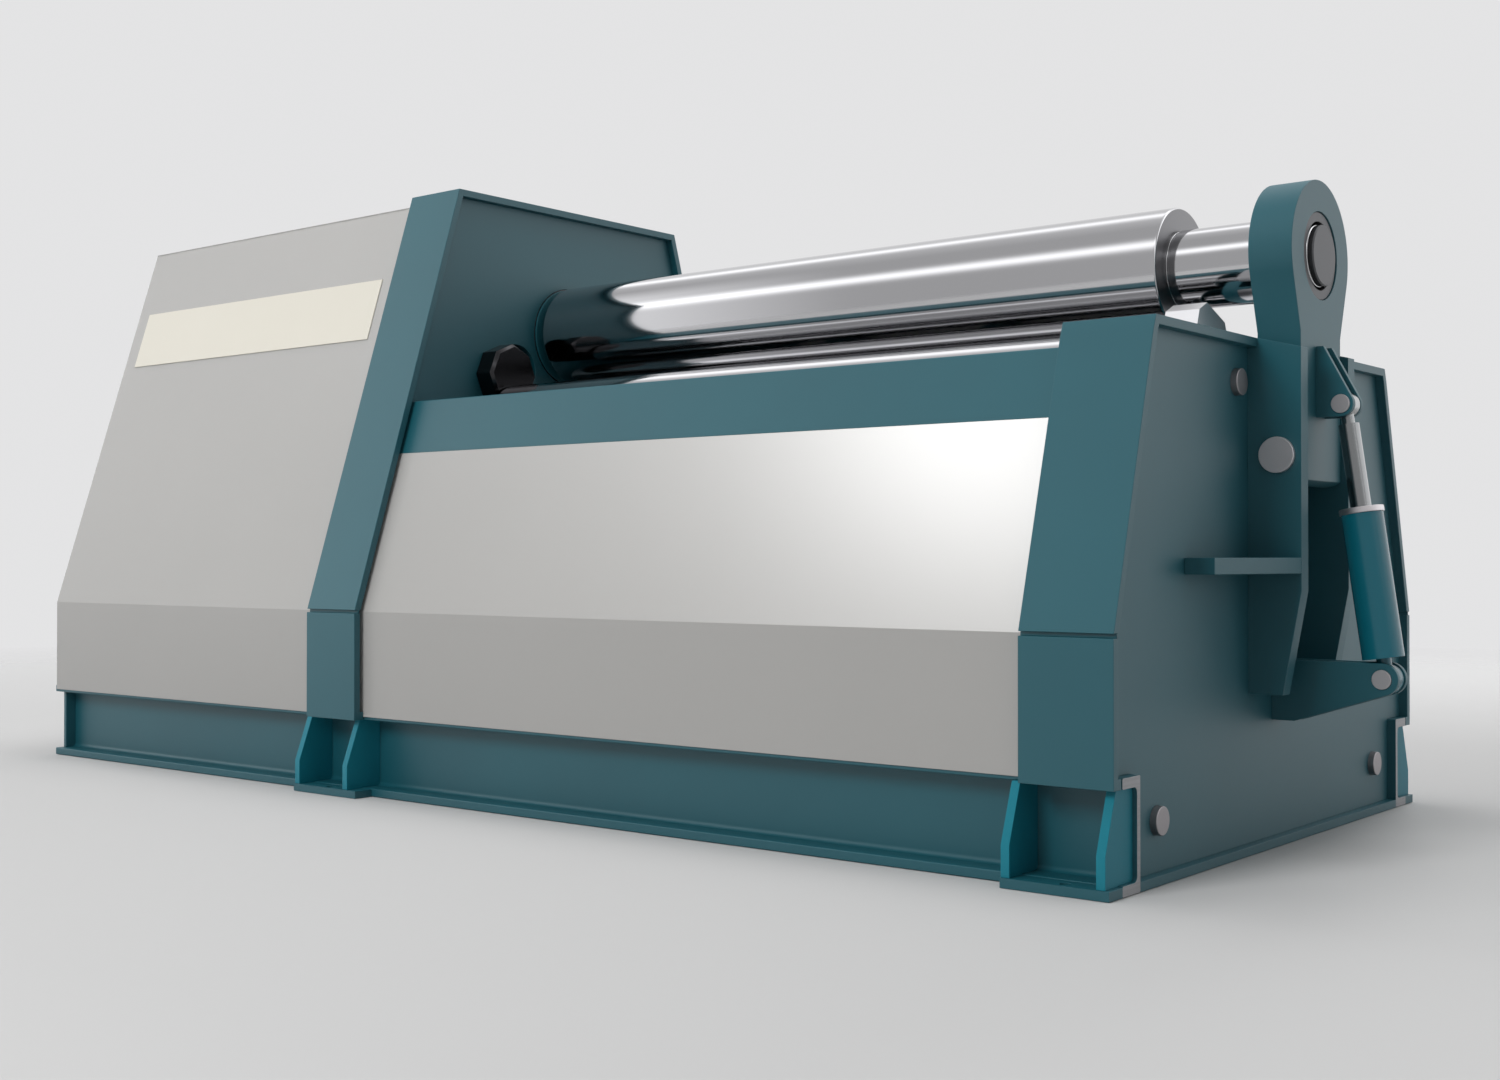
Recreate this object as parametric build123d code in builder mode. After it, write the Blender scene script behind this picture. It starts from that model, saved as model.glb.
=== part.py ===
from build123d import *
import os
from math import acos, atan2, cos, hypot, sin

# Plate rolling machine with four rolls, in millimetres. X runs along the rolls towards the drop end,
# Y to the rear and Z up. The origin is on the floor, under the middle of the machine's overall box.

# Base: two channel beams that open outwards, on sole plates
cabinet_length = 1391.0
beam_height = 230.0
beam_flange_width = 76.0
beam_web = 14.0
beam_flange = 22.0
sole_thickness = 20.0
sole_pad_width = 56.0
sole_margin = 30.0
anchor_hole_diameter = 24.0
anchor_edge = 23.0
gusset_thickness = 20.0
gusset_edge = 4.0
gusset_head_setback = 28.0
gusset_shift = 20.0
gusset_knee_share = 0.37
end_closer_recess = 28.0
cross_member_width = 60.0
cross_member_height = 150.0
cabinet_member_shares = (0.06, 0.28, 0.67)
bay_member_shares = (0.16, 0.46, 0.76)

# Stands: two plates each, with a rim of flange plate round them
stand_width = 210.0
roll_bay = 2070.0
plate_thickness = 40.0
rim_overhang = 22.0
band_thickness = 20.0
band_half_width = 850.0
break_height = 505.0
break_groove = 9.0
left_stand_rise = 388.0
left_top_half_width = 472.0
right_stand_rise = 97.0
right_shoulder_drop = 31.0
right_shoulder_half_width = 676.0
right_top_half_width = 664.0
rim_window_margin = 70.0

# Sheet panels, recessed behind the bands and lapped over the beams' edges
panel_setback = 32.0
sheet = 4.0
panel_lap = 13.5
panel_top_drop = 166.0
cover_drop = 16.0
cover_roll_gap = 55.0
cover_lip = 40.0
cabinet_end_inset = 11.0
cabinet_top_gap = 1.0
label_drop = 241.0
label_height = 185.0
label_thickness = 3.0
label_left_inset = 62.0
label_right_inset = 81.0

# Rolls
nip_gap = 12.0
top_roll_diameter = 300.0
top_journal_diameter = 190.0
top_drive_shaft_diameter = 120.0
top_roll_right_inset = 41.0
bearing_sleeve_wall = 20.0
shoulder_groove_width = 10.0
shoulder_groove_depth = 4.0
nose_clearance = 1.0
nose_taper = 10.2
nose_taper_shares = ((0.0, 1.0), (0.2, 0.5), (0.4, 0.15), (0.64, 0.0))
bottom_roll_z = 1046.0
bottom_roll_diameter = 260.0
side_roll_y = 290.0
side_roll_drop = 8.0
side_roll_diameter = 250.0
lower_journal_diameter = 110.0
roll_end_gap = 12.0
roll_edge = 5.0

# Bearing blocks, their guides and cylinders
block_width = 160.0
block_half_height = 85.0
side_block_below = 175.0
side_block_above = 170.0
block_chamfer = 30.0
block_face_clearance = 3.0
bush_wall = 15.0
neck_width = 150.0
neck_rise = 40.0
head_shift = 7.0
head_rise = 157.0
head_width = 170.0
head_depth = 66.0
head_edge = 8.0
head_gap = 2.0
guide_width = 30.0
guide_above = 42.0
guide_below = 290.0
bottom_guide_drop = 196.0
bottom_seat_drop = 486.0
bottom_seat_height = 40.0
bottom_seat_half_width = 120.0
side_pin_setback = 228.0
side_pin_drop = 105.0
stand_pin_diameter = 60.0
stand_pin_proud = 15.0
upper_pin_y = 225.0
upper_pin_drop = 5.0
side_lift_down = 100.0
side_lift_up = 150.0
bottom_lift_down = 90.0
bottom_lift_up = 10.0
lift_barrel_diameter = 76.0
lift_barrel_wall = 7.0
lift_barrel_eye_diameter = 84.0
side_barrel_start = 45.0
side_barrel_end = 560.0
bottom_barrel_height = 240.0
piston_rod_diameter = 45.0
piston_height = 40.0
side_piston_margin = 33.0
bottom_piston_depth = 100.0
barrel_cap = 20.0

# Drop end: the yoke that carries the top roll's right end, and its cylinder
yoke_inner_out = -17.0
yoke_thickness = 100.0
yoke_head_radius = 171.0
yoke_arm_half_width = 120.0
yoke_neck_rise = 15.0
yoke_bearing_diameter = 200.0
yoke_bearing_bore = 154.0
yoke_bearing_recess = 3.0
nose_end_recess = 4.0
pivot_out = 47.0
pivot_drop = 165.0
pivot_pin_diameter = 60.0
pivot_head_diameter = 80.0
pivot_head_thickness = 12.0
cheek_thickness = 40.0
cheek_reach = 100.0
cheek_bottom_reach = 57.0
cheek_below_pivot = 529.0
cheek_taper_height = 229.0
cheek_outer_drop = 26.0
rib_rise = 39.0
rib_thickness = 35.0
rib_length = 327.0
rib_end_reach = 45.0
rod_pin_out = 139.0
rod_pin_rise = 117.0
rod_pin_diameter = 42.0
lug_radius = 28.0
lug_rise = 132.0
lug_top_reach = 17.0
lug_gap = 36.0
lug_thickness = 14.0
lug_pin_proud = 4.0
base_pin_out = 228.0
base_pin_drop = 494.0
base_pin_diameter = 43.0
bracket_eye_radius = 36.0
bracket_drop = 102.0
bracket_flat_reach = 31.0
drop_barrel_diameter = 90.0
drop_barrel_wall = 9.0
drop_barrel_start = 46.0
drop_barrel_end = 370.0
gland_diameter = 96.0
gland_height = 13.0
drop_rod_diameter = 45.0
drop_piston_start = 276.0
drop_piston_height = 40.0
rod_eye_radius = 27.0
rod_eye_width = 30.0
rod_neck_diameter = 28.0
rod_neck_length = 45.0
rod_eye_bore = 30.0
barrel_eye_radius = 33.0
barrel_neck_diameter = 32.0

# Drives and hydraulics inside the cabinet
gearbox_flange_diameter = 340.0
gearbox_flange = 30.0
top_gearbox_diameter = 290.0
top_gearbox_length = 230.0
shaft_engagement = 130.0
motor_diameter = 170.0
motor_length = 200.0
bottom_gearbox_diameter = 200.0
bottom_gearbox_length = 200.0
bottom_motor_diameter = 130.0
bottom_motor_length = 170.0
bottom_drive_gap = 10.0
tank_left_inset = 181.0
tank_length = 800.0
tank_half_width = 350.0
tank_height = 390.0
tank_wall = 5.0
pump_inset = 300.0
pump_motor_diameter = 220.0
pump_motor_height = 350.0
bell_diameter = 140.0
bell_height = 80.0
valve_block_inset = 550.0
valve_block_length = 200.0
valve_block_half_width = 100.0
valve_block_height = 120.0
solenoid_diameter = 40.0
solenoid_length = 90.0
electrical_depth = 220.0
electrical_half_width = 250.0
electrical_drop = 205.0
electrical_height = 500.0
electrical_wall = 3.0
portal_section = 40.0
portal_middle_share = 0.48
top_rail_inset = 92.0

# Clearances
fit_clearance = 0.1
running_clearance = 0.08
slide_clearance = 0.5
slot_clearance = 5.0
free_clearance = 3.0
overrun = 5.0

# Places along X, worked out from the right-hand end of the base
beam_length = cabinet_length + stand_width + roll_bay + stand_width
right_end = (beam_length - base_pin_out - bracket_eye_radius) / 2
beam_left = right_end - beam_length
right_stand_in = right_end - stand_width
left_stand_in = right_stand_in - roll_bay
left_stand_out = left_stand_in - stand_width
bearing_gap = stand_width - 2 * rim_overhang - 2 * plate_thickness
right_inner_plate_x = right_stand_in + rim_overhang
right_gap_x = right_inner_plate_x + plate_thickness
end_plate_x = right_gap_x + bearing_gap
end_face_x = end_plate_x + plate_thickness
drive_plate_x = left_stand_out + rim_overhang
left_gap_x = drive_plate_x + plate_thickness
left_inner_plate_x = left_gap_x + bearing_gap
left_face_x = left_inner_plate_x + plate_thickness
cabinet_left = beam_left + cabinet_end_inset

# Heights, worked out from the bottom roll's axis
top_roll_z = bottom_roll_z + (bottom_roll_diameter + top_roll_diameter) / 2 + nip_gap
side_roll_z = bottom_roll_z - side_roll_drop
head_z = side_roll_z + head_rise
left_stand_height = top_roll_z + left_stand_rise
right_stand_height = bottom_roll_z + right_stand_rise
right_shoulder_height = right_stand_height - right_shoulder_drop
panel_height = right_shoulder_height - panel_top_drop
cover_height = right_shoulder_height - cover_drop
cabinet_height = left_stand_height - band_thickness - cabinet_top_gap
label_high = left_stand_height - label_drop
label_low = label_high - label_height
electrical_high = cabinet_height - electrical_drop
electrical_low = electrical_high - electrical_height
bottom_guide_low = bottom_roll_z - bottom_guide_drop
bottom_seat_z = bottom_roll_z - bottom_seat_drop
upper_pin_z = bottom_roll_z - upper_pin_drop
pivot_z = bottom_roll_z - pivot_drop
rod_pin_z = pivot_z + rod_pin_rise
base_pin_z = pivot_z - base_pin_drop
lug_top_z = rod_pin_z + lug_rise
bracket_low = base_pin_z - bracket_drop
cheek_low = pivot_z - cheek_below_pivot
cheek_taper_z = cheek_low + cheek_taper_height
cheek_outer_top = right_stand_height - cheek_outer_drop
rib_low = cheek_taper_z + rib_rise
side_pin_z = beam_height - side_pin_drop
flange_low = beam_height - beam_flange
panel_low = beam_height - panel_lap

# Places across Y, and the slope that stands and panels share
panel_y = band_half_width - panel_setback
beam_tip_y = panel_y - sheet
sole_reach_y = beam_tip_y + sole_pad_width
anchor_y = sole_reach_y - anchor_edge
gusset_foot_y = sole_reach_y - gusset_edge
gusset_head_y = band_half_width - gusset_head_setback
side_pin_y = band_half_width - side_pin_setback
cover_inner_y = side_roll_y + side_roll_diameter / 2 + cover_roll_gap
head_y = side_roll_y + head_shift
rim_window_half_width = side_roll_y + rim_window_margin
top_rail_y = left_top_half_width - top_rail_inset
cheek_inner_y = yoke_arm_half_width + free_clearance
cheek_outer_y = cheek_inner_y + cheek_thickness
nose_diameter = yoke_bearing_bore - nose_clearance
nose_end_diameter = nose_diameter - nose_taper
web_inner_y = beam_tip_y - beam_flange_width
web_outer_y = web_inner_y + beam_web
slope_share = (band_half_width - left_top_half_width) / (left_stand_height - break_height)

# Line that a side roll travels on: from its cylinder's pin up to the roll's axis at rest
side_run = hypot(side_pin_y - side_roll_y, side_roll_z - side_pin_z)
side_dir_y = (side_roll_y - side_pin_y) / side_run
side_dir_z = (side_roll_z - side_pin_z) / side_run

# Line of the drop cylinder: from its base pin up to the rod pin
base_pin_x = right_end + base_pin_out
rod_pin_x = right_end + rod_pin_out
drop_run = hypot(base_pin_out - rod_pin_out, rod_pin_z - base_pin_z)
drop_dir_x = (rod_pin_out - base_pin_out) / drop_run
drop_dir_z = (rod_pin_z - base_pin_z) / drop_run

yoke_x = right_end + yoke_inner_out
yoke_face_x = yoke_x + yoke_thickness
pivot_x = right_end + pivot_out


def slope_y(z, base_y):
    """Distance from the middle plane of a sloped plate that stands at base_y up to the break."""
    return base_y - slope_share * (z - break_height)


def closed_outline(*points):
    """A face bounded by straight runs from point to point."""
    Polygon(*points, align=None)


def bar(x_span, y_span, z_span):
    """A rectangular bar between three pairs of limits."""
    with BuildSketch(Plane.XY.offset(z_span[0])) as section:
        with Locations(((x_span[0] + x_span[1]) / 2, (y_span[0] + y_span[1]) / 2)):
            Rectangle(x_span[1] - x_span[0], y_span[1] - y_span[0])
    extrude(section.sketch, amount=z_span[1] - z_span[0])


def round_along_x(x_span, y, z, diameter, mode=Mode.ADD):
    """A round bar or bore along X."""
    with BuildSketch(Plane.YZ.offset(x_span[0])) as section:
        with Locations((y, z)):
            Circle(diameter / 2)
    extrude(section.sketch, amount=x_span[1] - x_span[0], mode=mode)


def upright_plane(y):
    """The XZ plane at y. An extrusion from it runs towards the front."""
    return Plane.XZ.offset(-y)


def round_along_y(y_span, x, z, diameter, mode=Mode.ADD):
    """A round bar or bore along Y."""
    with BuildSketch(upright_plane(y_span[1])) as section:
        with Locations((x, z)):
            Circle(diameter / 2)
    extrude(section.sketch, amount=y_span[1] - y_span[0], mode=mode)


def round_along(plane, span, diameter, mode=Mode.ADD):
    """A round bar or bore along a plane's normal."""
    with BuildSketch(plane.offset(span[0])) as section:
        Circle(diameter / 2)
    extrude(section.sketch, amount=span[1] - span[0], mode=mode)


def tangent_point(centre, radius, point, turn):
    """Where a line from point touches a circle, on the side that turn (1 or -1) chooses."""
    across, up = point[0] - centre[0], point[1] - centre[1]
    angle = atan2(up, across) + turn * acos(radius / hypot(across, up))
    return (centre[0] + radius * cos(angle), centre[1] + radius * sin(angle))


def side_point(side, travel, sideways=0.0):
    """A point (y, z) on a side roll's travel line, moved sideways away from the middle plane."""
    y = side_roll_y + travel * side_dir_y + sideways * side_dir_z
    z = side_roll_z + travel * side_dir_z - sideways * side_dir_y
    return (side * y, z)


def slanted_outline(side, travel_span, sideways_span, corner=0.0):
    """A rectangle set along a side roll's travel line, with its upper corners cut."""
    low, high = travel_span
    near, far = sideways_span
    closed_outline(
        side_point(side, low, near),
        side_point(side, low, far),
        side_point(side, high - corner, far),
        side_point(side, high, far - corner),
        side_point(side, high, near + corner),
        side_point(side, high - corner, near),
    )


def side_plane(x, side):
    """Plane at a side cylinder's pin whose normal runs along the cylinder."""
    return Plane(
        origin=(x, side * side_pin_y, side_pin_z),
        x_dir=(1, 0, 0),
        z_dir=(0, side * side_dir_y, side_dir_z),
    )


drop_plane = Plane(
    origin=(base_pin_x, 0, base_pin_z), x_dir=(0, 1, 0), z_dir=(drop_dir_x, 0, drop_dir_z)
)

# Outlines of the two stands, outside the rim, from the floor up and back down
left_profile = (
    (-band_half_width, 0),
    (-band_half_width, break_height),
    (-left_top_half_width, left_stand_height),
    (left_top_half_width, left_stand_height),
    (band_half_width, break_height),
    (band_half_width, 0),
)
right_profile = (
    (-band_half_width, 0),
    (-band_half_width, break_height),
    (-right_shoulder_half_width, right_shoulder_height),
    (-right_top_half_width, right_stand_height),
    (right_top_half_width, right_stand_height),
    (right_shoulder_half_width, right_shoulder_height),
    (band_half_width, break_height),
    (band_half_width, 0),
)


def stand_plate_outline(profile):
    """A stand plate: inside the rim above the beams, between the webs below them."""
    closed_outline(*profile)
    offset(amount=-band_thickness, kind=Kind.INTERSECTION)
    with Locations((0, beam_height / 2)):
        Rectangle(2 * band_half_width, beam_height, mode=Mode.SUBTRACT)
    with Locations((0, (sole_thickness + beam_height) / 2)):
        Rectangle(2 * web_inner_y, beam_height - sole_thickness)


def journal_slots(bottom_width, side_width, side_rise=0.0):
    """Windows in a stand plate for what passes through it on the three lower rolls."""
    slot_low = bottom_roll_z - bottom_lift_down
    slot_high = bottom_roll_z + bottom_lift_up
    SlotCenterPoint(
        (0, (slot_low + slot_high) / 2), (0, slot_high), bottom_width, mode=Mode.SUBTRACT
    )
    if side_width:
        for side in (-1, 1):
            middle = side_point(side, (side_lift_up + side_rise - side_lift_down) / 2)
            top = side_point(side, side_lift_up + side_rise)
            SlotCenterPoint(middle, top, side_width, mode=Mode.SUBTRACT)


def pin_holes(y, z):
    """A pair of holes for stand pins, front and rear."""
    with Locations((-y, z), (y, z)):
        Circle(stand_pin_diameter / 2 + fit_clearance, mode=Mode.SUBTRACT)


def stand_rim(x, profile):
    """The flange plate round a stand's upper part, from the groove at the break up and over."""
    with BuildSketch(Plane.YZ.offset(x)) as section:
        closed_outline(*profile)
        offset(amount=-band_thickness, kind=Kind.INTERSECTION, mode=Mode.SUBTRACT)
        rim_low = break_height + break_groove / 2
        with Locations((0, rim_low / 2)):
            Rectangle(2 * (band_half_width + overrun), rim_low, mode=Mode.SUBTRACT)
    extrude(section.sketch, amount=stand_width)


os.makedirs("parts", exist_ok=True)

# Base beams: channels with the web inside and both flanges pointing out
for side_name, side in (("front", -1), ("rear", 1)):
    with BuildPart() as base_beam:
        with BuildSketch(Plane.YZ.offset(beam_left)):
            closed_outline(
                (side * web_inner_y, 0),
                (side * beam_tip_y, 0),
                (side * beam_tip_y, beam_flange),
                (side * web_outer_y, beam_flange),
                (side * web_outer_y, flange_low),
                (side * beam_tip_y, flange_low),
                (side * beam_tip_y, beam_height),
                (side * web_inner_y, beam_height),
            )
        extrude(amount=beam_length)
    base_beam.part.label = f"{side_name}_base_beam"
    export_step(base_beam.part, f"parts/{side_name}_base_beam.step")

# Cross members between the webs, level with the beams' tops, and the plates on the beams' left ends
member_middles = [beam_left + share * cabinet_length for share in cabinet_member_shares]
member_middles += [left_stand_in + share * roll_bay for share in bay_member_shares]
with BuildPart() as base_cross_members:
    for middle_x in member_middles:
        bar(
            (middle_x - cross_member_width / 2, middle_x + cross_member_width / 2),
            (-web_inner_y, web_inner_y),
            (beam_height - cross_member_height, beam_height),
        )
    closer_tip_y = beam_tip_y - end_closer_recess
    for y_span in ((-closer_tip_y, -web_outer_y), (web_outer_y, closer_tip_y)):
        bar((beam_left, beam_left + beam_web), y_span, (beam_flange, flange_low))
base_cross_members.part.label = "base_cross_members"
export_step(base_cross_members.part, "parts/base_cross_members.step")

# Gussets in the beams' recesses near both faces of each stand, standing out over the sole plates
gusset_knee_z = beam_height * gusset_knee_share
with BuildPart() as base_gussets:
    for face_x in (left_stand_out, left_stand_in, right_stand_in, right_end):
        for side in (-1, 1):
            with BuildSketch(Plane.YZ.offset(face_x - gusset_shift - gusset_thickness / 2)):
                closed_outline(
                    (side * web_outer_y, beam_flange),
                    (side * beam_tip_y, beam_flange),
                    (side * beam_tip_y, sole_thickness),
                    (side * gusset_foot_y, sole_thickness),
                    (side * gusset_foot_y, gusset_knee_z),
                    (side * gusset_head_y, flange_low),
                    (side * web_outer_y, flange_low),
                )
            extrude(amount=gusset_thickness)
base_gussets.part.label = "base_gussets"
export_step(base_gussets.part, "parts/base_gussets.step")

# Sole plates: outer pads with the anchor holes, and a plate between the webs under each stand
with BuildPart() as sole_plates:
    for sole_left, sole_right in (
        (left_stand_out - sole_margin, left_stand_in + sole_margin),
        (right_stand_in - sole_margin, right_end),
    ):
        for y_span in (
            (-sole_reach_y, -beam_tip_y),
            (-web_inner_y, web_inner_y),
            (beam_tip_y, sole_reach_y),
        ):
            bar((sole_left, sole_right), y_span, (0, sole_thickness))
    with BuildSketch():
        for anchor_x in (left_stand_in - stand_width / 2, right_end - stand_width / 2):
            with Locations((anchor_x, -anchor_y), (anchor_x, anchor_y)):
                Circle(anchor_hole_diameter / 2)
    extrude(amount=sole_thickness, mode=Mode.SUBTRACT)
sole_plates.part.label = "sole_plates"
export_step(sole_plates.part, "parts/sole_plates.step")

# Left stand: inner plate with windows for the bearing blocks' necks and a bore for the top roll's bearing
bearing_ring_diameter = top_roll_diameter
neck_slot = neck_width + 2 * slot_clearance
journal_slot = lower_journal_diameter + 2 * slot_clearance
with BuildPart() as left_stand_inner_plate:
    with BuildSketch(Plane.YZ.offset(left_inner_plate_x)):
        stand_plate_outline(left_profile)
        journal_slots(journal_slot, neck_slot, neck_rise)
        pin_holes(side_pin_y, side_pin_z)
        with Locations((0, top_roll_z)):
            Circle(bearing_ring_diameter / 2, mode=Mode.SUBTRACT)
    extrude(amount=plate_thickness)
left_stand_inner_plate.part.label = "left_stand_inner_plate"
export_step(left_stand_inner_plate.part, "parts/left_stand_inner_plate.step")

# Left stand: outer plate, which carries the top gearbox and lets the bottom drive's neck through
with BuildPart() as left_stand_drive_plate:
    with BuildSketch(Plane.YZ.offset(drive_plate_x)):
        stand_plate_outline(left_profile)
        journal_slots(neck_slot, 0)
        pin_holes(side_pin_y, side_pin_z)
        with Locations((0, top_roll_z)):
            Circle(bearing_ring_diameter / 2, mode=Mode.SUBTRACT)
    extrude(amount=plate_thickness)
left_stand_drive_plate.part.label = "left_stand_drive_plate"
export_step(left_stand_drive_plate.part, "parts/left_stand_drive_plate.step")

# Left stand: rim
with BuildPart() as left_stand_rim:
    stand_rim(left_stand_out, left_profile)
left_stand_rim.part.label = "left_stand_rim"
export_step(left_stand_rim.part, "parts/left_stand_rim.step")

# Right stand: inner plate, open at the top where the side rolls' journals rise past it
with BuildPart() as right_stand_inner_plate:
    with BuildSketch(Plane.YZ.offset(right_inner_plate_x)):
        stand_plate_outline(right_profile)
        journal_slots(journal_slot, journal_slot)
        pin_holes(side_pin_y, side_pin_z)
    extrude(amount=plate_thickness)
right_stand_inner_plate.part.label = "right_stand_inner_plate"
export_step(right_stand_inner_plate.part, "parts/right_stand_inner_plate.step")

# Right stand: end plate, with the pins' ends showing
with BuildPart() as right_stand_end_plate:
    with BuildSketch(Plane.YZ.offset(end_plate_x)):
        stand_plate_outline(right_profile)
        pin_holes(side_pin_y, side_pin_z)
        pin_holes(upper_pin_y, upper_pin_z)
    extrude(amount=plate_thickness)
right_stand_end_plate.part.label = "right_stand_end_plate"
export_step(right_stand_end_plate.part, "parts/right_stand_end_plate.step")

# Right stand: rim, cut open over the bearing blocks and round the yoke
with BuildPart() as right_stand_rim:
    stand_rim(right_stand_in, right_profile)
    with BuildSketch(Plane.XY.offset(right_stand_height - band_thickness - overrun)):
        with Locations(((right_stand_in + end_plate_x) / 2, 0)):
            Rectangle(end_plate_x - right_stand_in, 2 * rim_window_half_width)
        with Locations(((end_face_x + right_end) / 2, 0)):
            Rectangle(rim_overhang, 2 * cheek_inner_y)
    extrude(amount=band_thickness + 2 * overrun, mode=Mode.SUBTRACT)
right_stand_rim.part.label = "right_stand_rim"
export_step(right_stand_rim.part, "parts/right_stand_rim.step")

# Upright lower bands of both stands, below the groove, with a thicker foot that lies along the beams' edges
band_top = break_height - break_groove / 2
band_inner_y = band_half_width - band_thickness
with BuildPart() as stand_lower_bands:
    for stand_x in (left_stand_out, right_stand_in):
        x_span = (stand_x, stand_x + stand_width)
        for y_span in ((-band_half_width, -band_inner_y), (band_inner_y, band_half_width)):
            bar(x_span, y_span, (flange_low, band_top))
        for y_span in ((-band_inner_y, -panel_y), (panel_y, band_inner_y)):
            bar(x_span, y_span, (flange_low, beam_height))
stand_lower_bands.part.label = "stand_lower_bands"
export_step(stand_lower_bands.part, "parts/stand_lower_bands.step")

# Guides between the stand plates, and the seats of the bottom roll's cylinders
guide_near = block_width / 2 + slide_clearance
guide_far = guide_near + guide_width
with BuildPart() as block_guides:
    for gap_x in (left_gap_x, right_gap_x):
        with BuildSketch(Plane.YZ.offset(gap_x)):
            for side in (-1, 1):
                slanted_outline(side, (-guide_below, guide_above), (guide_near, guide_far))
                slanted_outline(side, (-guide_below, guide_above), (-guide_far, -guide_near))
        extrude(amount=bearing_gap)
        guide_top = right_stand_height - band_thickness
        for y_span in ((-guide_far, -guide_near), (guide_near, guide_far)):
            bar((gap_x, gap_x + bearing_gap), y_span, (bottom_guide_low, guide_top))
        bar(
            (gap_x, gap_x + bearing_gap),
            (-bottom_seat_half_width, bottom_seat_half_width),
            (bottom_seat_z - bottom_seat_height, bottom_seat_z),
        )
block_guides.part.label = "block_guides"
export_step(block_guides.part, "parts/block_guides.step")

# Steel pins in the stands: the side cylinders' lower pins, and the upper pair in the end plate
with BuildPart() as stand_pins:
    for side in (-1, 1):
        round_along_x(
            (drive_plate_x - stand_pin_proud, left_face_x),
            side * side_pin_y,
            side_pin_z,
            stand_pin_diameter,
        )
        round_along_x(
            (right_inner_plate_x, end_face_x + stand_pin_proud),
            side * side_pin_y,
            side_pin_z,
            stand_pin_diameter,
        )
        round_along_x(
            (end_plate_x, end_face_x + stand_pin_proud),
            side * upper_pin_y,
            upper_pin_z,
            stand_pin_diameter,
        )
stand_pins.part.label = "stand_pins"
export_step(stand_pins.part, "parts/stand_pins.step")

# Bent sheet panels between the stands, and the folded covers above them
for side_name, side in (("front", -1), ("rear", 1)):
    with BuildPart() as bay_panel:
        with BuildSketch(Plane.YZ.offset(left_face_x)):
            closed_outline(
                (side * panel_y, panel_low),
                (side * panel_y, break_height),
                (side * slope_y(panel_height, panel_y), panel_height),
                (side * (slope_y(panel_height, panel_y) - sheet), panel_height),
                (side * (panel_y - sheet), break_height),
                (side * (panel_y - sheet), panel_low),
            )
        extrude(amount=right_inner_plate_x - left_face_x)
    bay_panel.part.label = f"{side_name}_panel"
    export_step(bay_panel.part, f"parts/{side_name}_panel.step")

    with BuildPart() as top_cover:
        with BuildSketch(Plane.YZ.offset(left_face_x)):
            closed_outline(
                (side * slope_y(panel_height, panel_y), panel_height),
                (side * slope_y(cover_height, panel_y), cover_height),
                (side * cover_inner_y, cover_height),
                (side * cover_inner_y, cover_height - cover_lip),
                (side * (cover_inner_y + sheet), cover_height - cover_lip),
                (side * (cover_inner_y + sheet), cover_height - sheet),
                (side * (slope_y(cover_height, panel_y) - sheet), cover_height - sheet),
                (side * (slope_y(panel_height, panel_y) - sheet), panel_height),
            )
        extrude(amount=right_inner_plate_x - left_face_x)
    top_cover.part.label = f"{side_name}_top_cover"
    export_step(top_cover.part, f"parts/{side_name}_top_cover.step")

# Cabinet panels at the front and rear of the drives
cabinet_side_top = cabinet_height - sheet
for side_name, side in (("front", -1), ("rear", 1)):
    with BuildPart() as cabinet_side:
        with BuildSketch(Plane.YZ.offset(cabinet_left)):
            closed_outline(
                (side * panel_y, panel_low),
                (side * panel_y, break_height),
                (side * slope_y(cabinet_side_top, panel_y), cabinet_side_top),
                (side * (slope_y(cabinet_side_top, panel_y) - sheet), cabinet_side_top),
                (side * (panel_y - sheet), break_height),
                (side * (panel_y - sheet), panel_low),
            )
        extrude(amount=drive_plate_x - cabinet_left)
    cabinet_side.part.label = f"cabinet_{side_name}_panel"
    export_step(cabinet_side.part, f"parts/cabinet_{side_name}_panel.step")

# Cabinet top, lying on the side panels' upper edges
cabinet_top_half = slope_y(cabinet_side_top, panel_y)
with BuildPart() as cabinet_top_panel:
    bar(
        (cabinet_left, drive_plate_x),
        (-cabinet_top_half, cabinet_top_half),
        (cabinet_side_top, cabinet_height),
    )
cabinet_top_panel.part.label = "cabinet_top_panel"
export_step(cabinet_top_panel.part, "parts/cabinet_top_panel.step")

# Outline inside the cabinet's side panels, shared by its end panel and its frame
cabinet_inside = (
    (sheet - panel_y, beam_height),
    (sheet - panel_y, break_height),
    (sheet - slope_y(cabinet_side_top, panel_y), cabinet_side_top),
    (slope_y(cabinet_side_top, panel_y) - sheet, cabinet_side_top),
    (panel_y - sheet, break_height),
    (panel_y - sheet, beam_height),
)

# Cabinet end, fitted between the side panels
with BuildPart() as cabinet_end_panel:
    with BuildSketch(Plane.YZ.offset(cabinet_left)):
        closed_outline(*cabinet_inside)
    extrude(amount=sheet)
cabinet_end_panel.part.label = "cabinet_end_panel"
export_step(cabinet_end_panel.part, "parts/cabinet_end_panel.step")

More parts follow.
